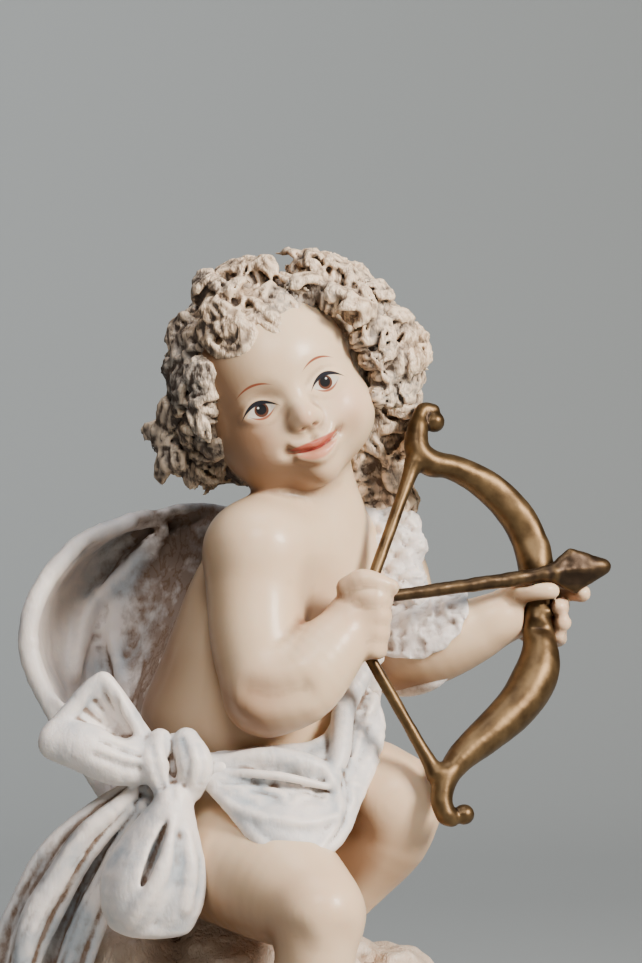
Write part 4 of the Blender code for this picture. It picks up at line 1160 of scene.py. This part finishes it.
def model_high_loop(clay):
    """The loop that stands up to the left: a fluted flap, a hollow, and a fat smooth roll in front."""
    flap = [
        [(-30.5, -26, 109.5), (-33, -26, 113.5), (-36, -26, 118), (-39.3, -26, 122.0)],
        [(-31.5, -25, 108), (-36, -24, 112.5), (-40, -24, 117), (-43.4, -25.5, 119.6)],
        [(-32.5, -25, 107), (-38, -24, 110.5), (-43, -24.5, 113.5), (-47.2, -26, 115)],
        [(-33, -26, 106), (-40, -26, 108.5), (-45.5, -26.5, 110.5), (-49.6, -27, 111)],
    ]
    clay.pleats(flap, 9, 1.6, 1.8, 0.1)
    rim = [
        (-30.6, -27.5, 108.6, 1.2), (-34.6, -27.6, 115.6, 1.2), (-38.9, -27, 122.2, 1.3),
        (-41.4, -26.8, 121.6, 1.3), (-45.4, -27, 117.2, 1.4), (-48.6, -27.4, 113.4, 1.7),
        (-50.2, -27.6, 110.6, 2.0),
    ]
    clay.limb(rim, 1.2, 26)
    for x, z in ((-37.2, 119.4), (-39.2, 119.2), (-41.2, 117.6), (-43.4, 115.6), (-45.6, 113.4)):
        clay.groove([(-32.6, 109.4, 0.2), (0.5 * x - 17.4, 0.5 * z + 54.8, 0.5), (x, z, 0.4)], 1.0, 0.05)
    roll = [
        [(-30, -27.5, 106.5), (-36, -29, 109), (-43, -29.5, 111.3), (-49.6, -28, 110.8)],
        [(-30, -29, 104.5), (-37, -31.5, 105.8), (-44, -31.5, 108), (-50.3, -28.8, 109)],
        [(-30, -27.5, 102.5), (-37, -29.5, 102), (-43.5, -29.5, 104.6), (-49.6, -28, 107.6)],
    ]
    clay.pleats(roll, 7, 1.9, 2.4, 0)
    clay.ball((-36.8, -29.0, 112.2), (1.5, 3.0, 3.6), 1.6, tilted(-0.9), carve=True)
    clay.groove([(-31, 103.6, 0.4), (-35, 104.4, 0.6), (-41, 106.8, 0.3)], 1.4)
    clay.groove([(-31.5, 106.4, 0.3), (-36, 108.2, 0.5), (-40, 109.8, 0.2)], 1.2)


def model_low_loop(clay):
    """The loop that hangs below the knot, folded round a deep slit."""
    hang = [
        [(-25.2, -29, 97), (-32.4, -30, 90), (-37.6, -31, 82.5), (-38.4, -31.5, 76), (-37, -31, 71.8)],
        [(-24.8, -31, 97), (-29, -34, 90), (-33.2, -36.5, 82.5), (-34.4, -37, 75.5), (-33.4, -34.5, 71)],
        [
            (-24.4, -31.5, 97), (-26.3, -34.8, 90), (-28, -37.3, 82.5), (-28.6, -37.3, 75.5),
            (-28.4, -35, 70.8),
        ],
        [(-24, -31, 97), (-23.4, -33.8, 90), (-22.9, -36.2, 82.5), (-23, -36, 75.5), (-23.8, -34, 70.8)],
        [(-23.6, -29, 97), (-21.3, -31, 90), (-19.2, -32, 82.5), (-19.6, -32, 76), (-21.8, -31.5, 72)],
    ]
    clay.limb([(-25, -29, 95, 2), (-28, -31.5, 86, 5), (-28.6, -32, 77, 5.6)], 1, 10)
    clay.pleats(hang, 13, 1.6, 2.8, 0)
    lip = [(-24.4, 94, 0.7), (-24.8, 88, 1.3), (-27.0, 81.5, 1.5), (-30.4, 76, 1.3), (-33.4, 71.6, 0.7)]
    clay.ridge(lip, 2.0, -0.2)
    clay.ridge([(-21.4, 90, 0.6), (-20.4, 82, 1.0), (-21.4, 75, 0.7)], 2.4, 0.0)
    clay.ball((-28.2, -38.0, 86.2), (1.1, 4.2, 7.6), 0.8, tilted(0.36), carve=True)
    clay.groove([(-22.9, 90, 0.2), (-23.2, 83, 0.6), (-25.0, 76, 0.5), (-27.6, 71.4, 0.2)], 2.6, 0.1)
    hem = [(-36, -32.6, 71.4, 1.2), (-31, -35, 70, 1.3), (-25, -34.4, 70.2, 1.2), (-21.6, -32.6, 72, 1.1)]
    clay.limb(hem, 1.6, 12)


def model_knot(clay):
    """Two lobes with a cleft between them."""
    knot = np.asarray(KNOT, float)
    clay.ball(knot + (0, 1.5, 0), (5.8, 4.4, 6.4), 2)
    clay.limb([(-27.4, -28.2, 109.6, 2.4), (-28.4, -30.2, 104.5, 3.1), (-26.4, -29.2, 98.8, 2.3)], 1.2, 10)
    clay.limb([(-21.8, -28.2, 109.2, 3.0), (-19.9, -30.2, 104.4, 3.9), (-21.0, -28.8, 99.2, 3.0)], 1.2, 10)
    clay.groove([(-25.9, 110.8, 0.4), (-25.2, 104.6, 0.5), (-24.3, 98.0, 0.5)], 1.2, 0.25)
    clay.groove([(-29.0, 108.4, 0.2), (-27.8, 103.6, 0.4), (-26.6, 99.8, 0.25)], 1.3, 0.1)
    clay.groove([(-22.6, 109.8, 0.2), (-21.4, 105, 0.45), (-21.9, 100.4, 0.25)], 1.4, 0.1)
    clay.groove([(-18.9, 108.8, 0.2), (-17.9, 104.6, 0.3), (-19.0, 100.6, 0.2)], 1.2, 0.1)
    clay.limb([(-17.6, -28.4, 100.6, 1.3), (-14.6, -28.8, 103.4, 1.9), (-14.2, -28.4, 101.2, 1.2)], 0.8, 6)


# The rock


def crag_noise(points):
    """The roughness shared by all the boulders, read off a lattice."""
    spacing = 2
    low = np.floor(points.min(0) / spacing) * spacing - spacing
    count = (np.ceil((points.max(0) - low) / spacing) + 2).astype(int)
    values = np.empty(count)
    for i in range(count[0]):
        for j in range(count[1]):
            for k in range(count[2]):
                place = Vector((low[0] + spacing * i, low[1] + spacing * j, low[2] + spacing * k))
                values[i, j, k] = 3.6 * noise.noise(place / 15) + 1.8 * noise.noise(place / 6)
    place = (points - low) / spacing
    cell = np.floor(place).astype(int)
    return blended(values, cell, place - cell)


def build_rock():
    """A mound under the seat with a ledge for each foot and boulders round its sides."""
    clay = Clay((-66, -66, -3), (62, 58, 84), ROCK_CELL)
    crags = [
        ((-10, 6, 38), (32, 30, 38)), ((-34, -5, 42), (19, 18, 27)), ((17, 17, 30), (23, 21, 31)),
        ((7, -13, 24), (20, 20, 26)), ((9, -42, 3), (19, 16, 17)), ((-5, -3, 2), (51, 45, 20)),
    ]
    for k in range(34):
        share = k / 34
        angle = k * GOLDEN_ANGLE
        reach = 44 - 20 * share
        size = 12 + 3 * math.sin(3.7 * k) - 2 * share
        place = (-6 + 1.06 * reach * math.cos(angle), -2 + 0.92 * reach * math.sin(angle), 3 + 44 * share)
        crags.append((place, (size, size * 0.95, size * 0.8)))
    for place, radii in crags:
        clay.ball(place, radii, 0.8)

    def weathered(points):
        points = points.astype(float)
        layers = grain(points * (0.35, 0.35, 1.5), 4.2, 7)
        chips = 0.8 * (crinkle(points, 6, 17) - 0.6) + 0.35 * grain(points, 2.1, 19)
        return crag_noise(points) + 0.9 * layers + chips

    clay.roughen(weathered, 9)
    # cut flat where it stands
    clay.field = np.maximum(clay.field, -clay.axes[2][None, None, :])
    points, faces = clay.skin(1)
    marks = wash_marks(points, faces, 3, 14)
    make_piece("rock", points, faces, "cherub", rock_paint(), marks)


# Paints and finishes


def linear(colour):
    """An sRGB hex colour as the linear values that shaders take."""
    values = [int(colour[k : k + 2], 16) / 255 for k in (1, 3, 5)]
    return tuple(v / 12.92 if v <= 0.04045 else ((v + 0.055) / 1.055) ** 2.4 for v in values)


def put(tree, kind, inputs, out=0, **settings):
    """Adds a node with its settings, sets or links its inputs, and returns one of its outputs.

    Inputs are a list in the node's own order, or a dictionary by number or name.
    """
    node = tree.nodes.new("ShaderNode" + kind)
    for key, value in settings.items():
        setattr(node, key, value)
    for key, value in inputs.items() if isinstance(inputs, dict) else enumerate(inputs):
        socket = node.inputs[key]
        if isinstance(value, bpy.types.NodeSocket):
            tree.links.new(value, socket)
        elif hasattr(socket.default_value, "__len__") and len(value) == 3 and len(socket.default_value) == 4:
            socket.default_value = (*value, 1)
        else:
            socket.default_value = value
    return node.outputs[out]


def new_finish(name):
    """A material, a way to add nodes to it, and its shader."""
    material = bpy.data.materials.new(name)
    material.use_nodes = True
    tree = material.node_tree
    return material, partial(put, tree), tree.nodes["Principled BSDF"]


def give(shader, **values):
    """Links or sets the shader's inputs; an underscore in a name stands for a space."""
    for name, value in values.items():
        socket = shader.inputs[name.replace("_", " ")]
        if isinstance(value, bpy.types.NodeSocket):
            shader.id_data.links.new(value, socket)
        else:
            socket.default_value = value


def speckle(add, size_mm, detail=3.0, rough=0.6, stretch=(1, 1, 1)):
    """Random values from 0 to 1 with blotches of a size in millimetres on the object."""
    place = add("TexCoord", [], 3)
    place = add("Mapping", {"Vector": place, "Scale": stretch})
    return add("TexNoise", {"Vector": place, "Scale": 1000 / size_mm, "Detail": detail, "Roughness": rough})


def settled(add, fine_mm, broad_mm, patchy):
    """How much thinned dark paint stays at a place: much in hollows, none on crests."""
    fine = add("Attribute", [], 2, attribute_name="wash_fine")
    broad = add("Attribute", [], 2, attribute_name="wash_broad")
    broad = add("MapRange", [broad, -broad_mm, broad_mm, -0.35, 0.35])
    fine = add("Math", [fine, fine_mm], operation="DIVIDE")
    total = add("Math", [fine, broad], operation="ADD")
    blotch = add("Math", [speckle(add, 4.0), 0.5], operation="SUBTRACT")
    blotch = add("Math", [blotch, 2 * patchy], operation="MULTIPLY")
    total = add("Math", [total, blotch], operation="ADD")
    return add("Math", [total, 0.5], operation="ADD", use_clamp=True)


# Each stroke of the face painter's brush, in parts on the head: across, up, slope, bend, half length,
# half width at its middle, softness of its edge, colour, strength, and whether both sides of the face have it
STROKES = [
    ("white", 7.8, -3.15, 0.0, -0.03, 3.3, 1.65, 0.18, "#D6C9B8", 1.0, True),
    ("lower lid", 7.7, -5.0, 0.02, 0.17, 2.9, 0.27, 0.18, "#9A5238", 0.95, True),
    ("lash", 8.0, -1.45, 0.02, -0.125, 4.3, 0.50, 0.14, "#17161E", 1.0, True),
    ("brow", 7.6, 2.35, 0.03, -0.085, 3.9, 0.27, 0.16, "#8A4028", 0.95, True),
    ("nostril", 1.7, -10.6, 0.15, -0.1, 0.8, 0.26, 0.3, "#96503C", 0.6, True),
    ("upper lip", 0, -14.6, 0.0, 0.036, 5.6, 1.00, 0.30, "#B4513F", 0.9, False),
    ("lower lip", 0, -16.6, 0.0, 0.055, 4.8, 1.15, 0.55, "#D58A6C", 0.85, False),
    ("mouth", 0, -15.4, 0.0, 0.040, 6.4, 0.24, 0.18, "#8A2A20", 0.95, False),
    ("smile", 6.8, -13.6, 1.2, 0.3, 1.0, 0.15, 0.22, "#A5604E", 0.5, False),
]
# Iris, pupil and glint, laid over the white: across, up, radius and colour
DISCS = [(7.6, -3.15, 1.56, "#5A3220"), (7.6, -3.0, 1.14, "#0B0A0E"), (8.1, -2.45, 0.22, "#DCD8D4")]
DISC_EDGE = 0.12


def paint_face(add, colour):
    """Lays the painter's strokes over a colour, from places on the head."""
    on_head = add("Attribute", [], 1, attribute_name="on_head")
    across, forward, up = add("SeparateXYZ", [on_head]).node.outputs
    either = add("Math", [across], operation="ABSOLUTE")
    front = add("Math", [forward, 8.0], operation="GREATER_THAN")
    for name, a, c, slope, bend, half, width, soft, shade, strength, both in STROKES:
        x = add("Math", [either if both else across, a], operation="SUBTRACT")
        line = add("Math", [x, bend, slope], operation="MULTIPLY_ADD")
        line = add("Math", [line, x, c], operation="MULTIPLY_ADD")
        off = add("Math", [up, line], operation="SUBTRACT")
        off = add("Math", [off], operation="ABSOLUTE")
        reach = add("Math", [x, half], operation="DIVIDE")
        taper = add("Math", [reach, reach], operation="MULTIPLY")
        taper = add("Math", [1.0, taper], operation="SUBTRACT")
        room = add("Math", [taper, width], operation="MULTIPLY")
        room = add("Math", [room, off], operation="SUBTRACT")
        cover = add("Math", [room, 1 / soft, 0.5], operation="MULTIPLY_ADD", use_clamp=True)
        cover = add("Math", [cover, front], operation="MULTIPLY")
        cover = add("Math", [cover, strength], operation="MULTIPLY")
        colour = add("Mix", {0: cover, 6: colour, 7: linear(shade)}, 2, data_type="RGBA")
        if name == "white":
            for disc_a, disc_c, radius, disc_shade in DISCS:
                dx = add("Math", [either, disc_a], operation="SUBTRACT")
                dy = add("Math", [up, disc_c], operation="SUBTRACT")
                away = add("Math", [add("Math", [dx, dx], operation="MULTIPLY"),
                                    add("Math", [dy, dy], operation="MULTIPLY")], operation="ADD")
                away = add("Math", [away], operation="SQRT")
                inside = add("Math", [radius, away], operation="SUBTRACT")
                inside = add("Math", [inside, 1 / DISC_EDGE, 0.5], operation="MULTIPLY_ADD", use_clamp=True)
                inside = add("Math", [inside, cover], operation="MULTIPLY")
                colour = add("Mix", {0: inside, 6: colour, 7: linear(disc_shade)}, 2, data_type="RGBA")
    return colour


def skin_paint():
    # Cold-cast resin, rubbed smooth and painted flesh in thin satin coats: light sinks in a little way,
    # so edges glow; painted shade, a warm brown, darkens the sides that look down and away from the light,
    # the nooks and the near side of the head, and a brown wash is left in the folds.
    # The eyes are left matt. The grain of the paint is finer than 0.7 mm and drawn as coarse as that to show
    material, add, shader = new_finish("satin flesh paint on cast resin")
    look = bpy.context.scene.cherub
    dark = add("MapRange", [settled(add, 0.5, 2.0, 0.10), 0.56, 1.0, 0.0, 0.9])
    blush = add("Attribute", [], 2, attribute_name="blush")
    cloudy = add("Math", [speckle(add, 12, 2), 0.6], operation="MULTIPLY")
    # Painted shade: the share of brown where the figure turns from the light and in its nooks
    shade_amount = add("Attribute", [], 2, attribute_name="sprayed_tan")
    shade_amount = add("MapRange", [shade_amount, 0.03, 0.95, 0.0, 0.92])
    colour = tuple(look.flesh)
    # The third coat, #866246, is painted shade
    for share, coat in ((cloudy, "#D9B389"), (blush, "#DDA080"), (shade_amount, "#866246"), (dark, "#7A4F34")):
        colour = add("Mix", {0: share, 6: colour, 7: linear(coat)}, 2, data_type="RGBA")
    eyes = add("Attribute", [], 2, attribute_name="eyes")
    satin = add("Math", [speckle(add, 5), 0.2, 0.26], operation="MULTIPLY_ADD")
    give(
        shader,
        Base_Color=paint_face(add, colour),
        Roughness=add("Math", [eyes, 0.45, satin], operation="MULTIPLY_ADD"),
        Subsurface_Weight=0.3,
        Subsurface_Radius=(1.0, 0.45, 0.25),
        Subsurface_Scale=0.002,
        Specular_IOR_Level=0.3,
        Coat_Weight=add("Math", [eyes, -0.08, 0.08], operation="MULTIPLY_ADD"),
        Coat_Roughness=0.1,
        Normal=add("Bump", {"Strength": 0.5, "Distance": 0.03 * MM, "Height": speckle(add, 0.7, 4)}),
    )
    return material


def washed_paint(name, crest, body, hollow, tint, tint_share, rough, fine_mm, wash_from, crease_mm):
    """Paint rubbed light on the crests, with thinned dark paint left in the hollows and tool marks.

    Crest, body, hollow and tint are its colours. The tint shows up to tint_share, and the hollow colour
    starts at wash_from. A hollow is full at a depth of fine_mm, and tool marks are crease_mm deep. The
    brush's own grain is finer than 0.5 mm and drawn as coarse as that to show.
    """
    material, add, shader = new_finish(name)
    off = add("Math", [speckle(add, 3.0, 3, 0.6, (1, 1, 0.5)), 0.5], operation="SUBTRACT")
    off = add("Math", [off], operation="ABSOLUTE")
    line = add("MapRange", [off, 0.0, 0.05, 0.8 * crease_mm, 0.0])
    deep = add("Math", [settled(add, fine_mm, 4.0, 0.3), line], operation="ADD")
    patches = add("MapRange", [speckle(add, 16, 2), 0.4, 0.62, 0.0, tint_share])
    haze = add("MapRange", [deep, 0.3, 0.66, 0.3])
    haze = add("Math", [patches, haze], operation="MULTIPLY")
    rubbed = add("MapRange", [deep, 0.12, 0.5])
    colour = add("Mix", {0: rubbed, 6: linear(crest), 7: body}, 2, data_type="RGBA")
    colour = add("Mix", {0: haze, 6: colour, 7: tint}, 2, data_type="RGBA")
    wash = add("MapRange", [deep, wash_from, 1.05])
    height = add("MapRange", [off, 0.0, 0.12, 0.0, crease_mm])
    height = add("Math", [speckle(add, 0.5, 5, 0.7), 0.08, height], operation="MULTIPLY_ADD")
    give(
        shader,
        Base_Color=add("Mix", {0: wash, 6: colour, 7: linear(hollow)}, 2, data_type="RGBA"),
        Roughness=add("Math", [deep, 0.25, rough], operation="MULTIPLY_ADD"),
        Subsurface_Weight=0.15,
        Subsurface_Radius=(1.0, 0.6, 0.4),
        Subsurface_Scale=0.001,
        Normal=add("Bump", {"Strength": 0.7, "Distance": MM, "Height": height}),
    )
    return material


def hair_paint():
    # Cast resin curls under a grey-brown wash, then dry-brushed warm beige, so every ridge reads light
    look = bpy.context.scene.cherub
    return washed_paint(
        "dry-brushed paint on cast resin curls", crest="#F0D5B5", body=tuple(look.hair), hollow="#4A3B2F",
        tint=linear("#A3A19B"), tint_share=0.65, rough=0.36, fine_mm=0.40, wash_from=0.50, crease_mm=0.40,
    )


def scarf_paint():
    # Cast cloth painted off-white, with a slate-blue wash run into its folds and wiped off the crests
    name = "off-white paint with slate wash on cast cloth"
    look = bpy.context.scene.cherub
    return bpy.data.materials.get(name) or washed_paint(
        name, crest="#FCEEE1", body=linear("#EDE3DB"), hollow="#765B45", tint=tuple(look.cloth_wash),
        tint_share=0.85, rough=0.36, fine_mm=0.45, wash_from=0.68, crease_mm=0.06,
    )


def rock_paint():
    # Rough-cast rock painted sand, with a dark umber wash in every pit
    look = bpy.context.scene.cherub
    return washed_paint(
        "sand paint with umber wash on rough-cast rock", crest="#E4D0BC", body=tuple(look.rock),
        hollow="#6A5342", tint=linear("#BBA999"), tint_share=0.6, rough=0.45,
        fine_mm=1.1, wash_from=0.84, crease_mm=0.3,
    )


def bronze_paint():
    # Bronze powder paint brushed over a cast part: bright where handling rubs it, brown in the hollows,
    # and half rough, as powder paint never mirrors. Its grain is finer than 1.1 mm and drawn as coarse
    # as that to show
    material, add, shader = new_finish("brushed bronze powder paint")
    look = bpy.context.scene.cherub
    deep = add("MapRange", [settled(add, 0.24, 0.9, 0.12), 0.55, 1.0])
    streaks = speckle(add, 5.0, 3, 0.55)
    rubbed = add("MapRange", [streaks, 0.28, 0.78])
    colour = add("Mix", {0: rubbed, 6: linear("#46341F"), 7: tuple(look.bronze)}, 2, data_type="RGBA")
    give(
        shader,
        Base_Color=add("Mix", {0: deep, 6: colour, 7: linear("#33261A")}, 2, data_type="RGBA"),
        Roughness=add("Math", [streaks, 0.3, 0.26], operation="MULTIPLY_ADD"),
        Metallic=0.8,
        Normal=add("Bump", {"Strength": 0.6, "Distance": 0.05 * MM, "Height": speckle(add, 1.1, 5, 0.7)}),
    )
    return material


def paper_finish():
    # Matt studio background paper, lighter in large soft patches; its tooth is finer than
    # 0.8 mm and drawn as coarse as that to show
    material, add, shader = new_finish("matt grey background paper")
    uneven = add("Math", [speckle(add, 900, 1), 0.4], operation="MULTIPLY")
    look = bpy.context.scene.cherub
    give(
        shader,
        Base_Color=add("Mix", {0: uneven, 6: tuple(look.paper), 7: linear("#A4A8A7")}, 2, data_type="RGBA"),
        Roughness=add("Math", [speckle(add, 60, 2), 0.05, 0.85], operation="MULTIPLY_ADD"),
        Normal=add("Bump", {"Strength": 0.2, "Distance": 0.02 * MM, "Height": speckle(add, 0.8, 3)}),
    )
    return material


# The studio, in metres

# Floor and wall of the paper: how far it reaches, and the round between them
FLOOR_FRONT = -1.3
FLOOR_BACK = 0.6
ROUND = 0.35
WALL_RISE = 1.6
FLOOR_HALF_WIDTH = 1.6
WALL_HALF_WIDTH = 0.55
PAPER_ROWS = 40

# Each lamp: place, width, share of the key light's power and colour
LAMPS = (
    ("soft_box_right_front", (0.66, -0.54, 0.6), 0.26, 1.0, "#FFF8F0"),
    ("soft_box_high_front", (-0.02, -0.72, 0.78), 0.3, 0.22, "#FCFCFF"),
    ("soft_box_above", (-0.05, -0.12, 0.95), 0.4, 0.14, "#F4F6FF"),
    ("backdrop_lamp", (-0.38, 0.42, 0.5), 0.3, 0.1, "#F8FAFF"),
)
FIGURE_MIDDLE = (0, 0, 0.13)
WALL_MIDDLE = (-0.15, 0.95, 0.35)

# The photograph: the camera's distance and place, and the width that it sees there
DISTANCE = 0.7
SEEN_WIDTH = 0.14267
CAMERA_PLACE = (0.0069, -DISTANCE, 0.1646)
SENSOR_MM = 36


def add_object(name, data):
    """A new object in the scene."""
    made = bpy.data.objects.new(name, data)
    bpy.context.scene.collection.objects.link(made)
    return made


def hang_paper():
    """A paper sweep under and behind the figurine."""
    rows = []
    for k in range(PAPER_ROWS):
        share = k / (PAPER_ROWS - 1)
        if share < 0.45:
            rows.append((FLOOR_FRONT + (FLOOR_BACK - FLOOR_FRONT) * share / 0.45, 0.0))
        elif share < 0.6:
            turn = (share - 0.45) / 0.15 * math.pi / 2
            rows.append((FLOOR_BACK + ROUND * math.sin(turn), ROUND * (1 - math.cos(turn))))
        else:
            rows.append((FLOOR_BACK + ROUND, ROUND + WALL_RISE * (share - 0.6) / 0.4))
    mesh = bpy.data.meshes.new("paper sweep")
    # Wide underfoot and narrower up the wall, so the figurine is also seen from behind
    edges = []
    for y, z in rows:
        half_width = FLOOR_HALF_WIDTH if z == 0 else WALL_HALF_WIDTH
        edges += [(-half_width, y, z), (half_width, y, z)]
    faces = [(k, k + 1, k + 3, k + 2) for k in range(0, 2 * PAPER_ROWS - 2, 2)]
    mesh.from_pydata(edges, [], faces)
    mesh.polygons.foreach_set("use_smooth", [True] * len(faces))
    mesh.materials.append(paper_finish())
    add_object("paper_sweep", mesh)


def build_studio():
    """The paper sweep, four soft lamps, the air between them and the camera of the photograph."""
    hang_paper()
    for name, place, width, share, tint in LAMPS:
        light = bpy.data.lights.new(name, "AREA")
        light.size = width
        light.energy = share * bpy.context.scene.cherub.key_light
        light.color = linear(tint)
        lamp = add_object(name, light)
        lamp.location = place
        aim = WALL_MIDDLE if name == "backdrop_lamp" else FIGURE_MIDDLE
        lamp.rotation_euler = (Vector(aim) - Vector(place)).to_track_quat("-Z", "Y").to_euler()
    world = bpy.data.worlds.new("studio air")
    world.use_nodes = True
    air = world.node_tree.nodes["Background"]
    air.inputs["Color"].default_value = (*linear("#C8A078"), 1)
    air.inputs["Strength"].default_value = 0.03
    bpy.context.scene.world = world
    camera = bpy.data.cameras.new("photograph")
    camera.sensor_fit = "HORIZONTAL"
    camera.sensor_width = SENSOR_MM
    camera.lens = SENSOR_MM * DISTANCE / SEEN_WIDTH
    camera.clip_start = 0.01
    eye = add_object("photograph", camera)
    eye.location = CAMERA_PLACE
    eye.rotation_euler = (math.pi / 2, 0, 0)
    bpy.context.scene.camera = eye


# The panel and its steps


class CherubSettings(bpy.types.PropertyGroup):
    """Colours and light that a user may want to change."""

    flesh: bpy.props.FloatVectorProperty(
        name="Flesh", description="Colour of the skin where light falls on it", subtype="COLOR", size=3,
        min=0, max=1, default=linear("#EED2AF"),
    )
    hair: bpy.props.FloatVectorProperty(
        name="Hair", description="Colour of the curls between crests and hollows", subtype="COLOR", size=3,
        min=0, max=1, default=linear("#B99E81"),
    )
    cloth_wash: bpy.props.FloatVectorProperty(
        name="Cloth wash", description="Slate blue left in the folds of the scarf", subtype="COLOR", size=3,
        min=0, max=1, default=linear("#A9B3B9"),
    )
    rock: bpy.props.FloatVectorProperty(
        name="Rock", description="Colour of the rock between crests and pits", subtype="COLOR", size=3,
        min=0, max=1, default=linear("#D8C0A8"),
    )
    bronze: bpy.props.FloatVectorProperty(
        name="Bronze", description="Colour of the rubbed bronze on bow and arrow", subtype="COLOR", size=3,
        min=0, max=1, default=linear("#786040"),
    )
    paper: bpy.props.FloatVectorProperty(
        name="Paper", description="Colour of the background paper", subtype="COLOR", size=3,
        min=0, max=1, default=linear("#979C9C"),
    )
    key_light: bpy.props.FloatProperty(
        name="Key light", description="Power of the main soft box", default=18.5, min=0, unit="POWER",
    )
    locks: bpy.props.IntProperty(
        name="Locks", description="Places on the head that may grow a mound of hair", default=150,
        min=60, max=400,
    )


class CHERUB_OT_add_skin(bpy.types.Operator):
    """Model and paint the head, body, hands and feet"""

    bl_idname = "cherub.add_skin"
    bl_label = "Add Figure"

    def execute(self, context):
        build_skin()
        return {"FINISHED"}


class CHERUB_OT_add_hair(bpy.types.Operator):
    """Model and paint the curls"""

    bl_idname = "cherub.add_hair"
    bl_label = "Add Hair"

    def execute(self, context):
        build_hair()
        return {"FINISHED"}


class CHERUB_OT_add_sail(bpy.types.Operator):
    """Model and paint the billowing scarf and the strip over the shoulders"""

    bl_idname = "cherub.add_sail"
    bl_label = "Add Scarf Behind"

    def execute(self, context):
        build_sail()
        return {"FINISHED"}


class CHERUB_OT_add_wrap(bpy.types.Operator):
    """Model and paint the scarf round the far forearm"""

    bl_idname = "cherub.add_wrap"
    bl_label = "Add Forearm Wrap"

    def execute(self, context):
        build_wrap()
        return {"FINISHED"}


class CHERUB_OT_add_lap(bpy.types.Operator):
    """Model and paint the cloth over the lap and round the waist"""

    bl_idname = "cherub.add_lap"
    bl_label = "Add Lap Cloth"

    def execute(self, context):
        build_lap()
        return {"FINISHED"}


class CHERUB_OT_add_knot(bpy.types.Operator):
    """Model and paint the knot with its loops and tails"""

    bl_idname = "cherub.add_knot"
    bl_label = "Add Knot"

    def execute(self, context):
        build_knot()
        return {"FINISHED"}


class CHERUB_OT_add_rock(bpy.types.Operator):
    """Model and paint the rock"""

    bl_idname = "cherub.add_rock"
    bl_label = "Add Rock"

    def execute(self, context):
        build_rock()
        return {"FINISHED"}


class CHERUB_OT_add_bow(bpy.types.Operator):
    """Model and paint the bow and its string"""

    bl_idname = "cherub.add_bow"
    bl_label = "Add Bow"

    def execute(self, context):
        build_bow()
        return {"FINISHED"}


class CHERUB_OT_add_arrow(bpy.types.Operator):
    """Model and paint the arrow"""

    bl_idname = "cherub.add_arrow"
    bl_label = "Add Arrow"

    def execute(self, context):
        build_arrow()
        return {"FINISHED"}


class CHERUB_OT_add_studio(bpy.types.Operator):
    """Set up the paper, the lamps and the camera"""

    bl_idname = "cherub.add_studio"
    bl_label = "Add Studio"

    def execute(self, context):
        build_studio()
        return {"FINISHED"}


STEPS = (
    CHERUB_OT_add_skin,
    CHERUB_OT_add_hair,
    CHERUB_OT_add_sail,
    CHERUB_OT_add_wrap,
    CHERUB_OT_add_lap,
    CHERUB_OT_add_knot,
    CHERUB_OT_add_rock,
    CHERUB_OT_add_bow,
    CHERUB_OT_add_arrow,
    CHERUB_OT_add_studio,
)


class CHERUB_PT_panel(bpy.types.Panel):
    """Lists the settings and the steps in the sidebar."""

    bl_label = "Cherub Figurine"
    bl_space_type = "VIEW_3D"
    bl_region_type = "UI"
    bl_category = "Cherub"

    def draw(self, context):
        for name in CherubSettings.__annotations__:
            self.layout.prop(context.scene.cherub, name)
        for made in STEPS:
            self.layout.operator(made.bl_idname)


CLASSES = (CherubSettings, *STEPS, CHERUB_PT_panel)


def register():
    for made in CLASSES:
        bpy.utils.register_class(made)
    bpy.types.Scene.cherub = bpy.props.PointerProperty(type=CherubSettings)


def unregister():
    del bpy.types.Scene.cherub
    for made in reversed(CLASSES):
        bpy.utils.unregister_class(made)


def main():
    register()
    for made in STEPS:
        getattr(bpy.ops.cherub, made.bl_idname.split(".")[1])()


if __name__ == "__main__":
    main()
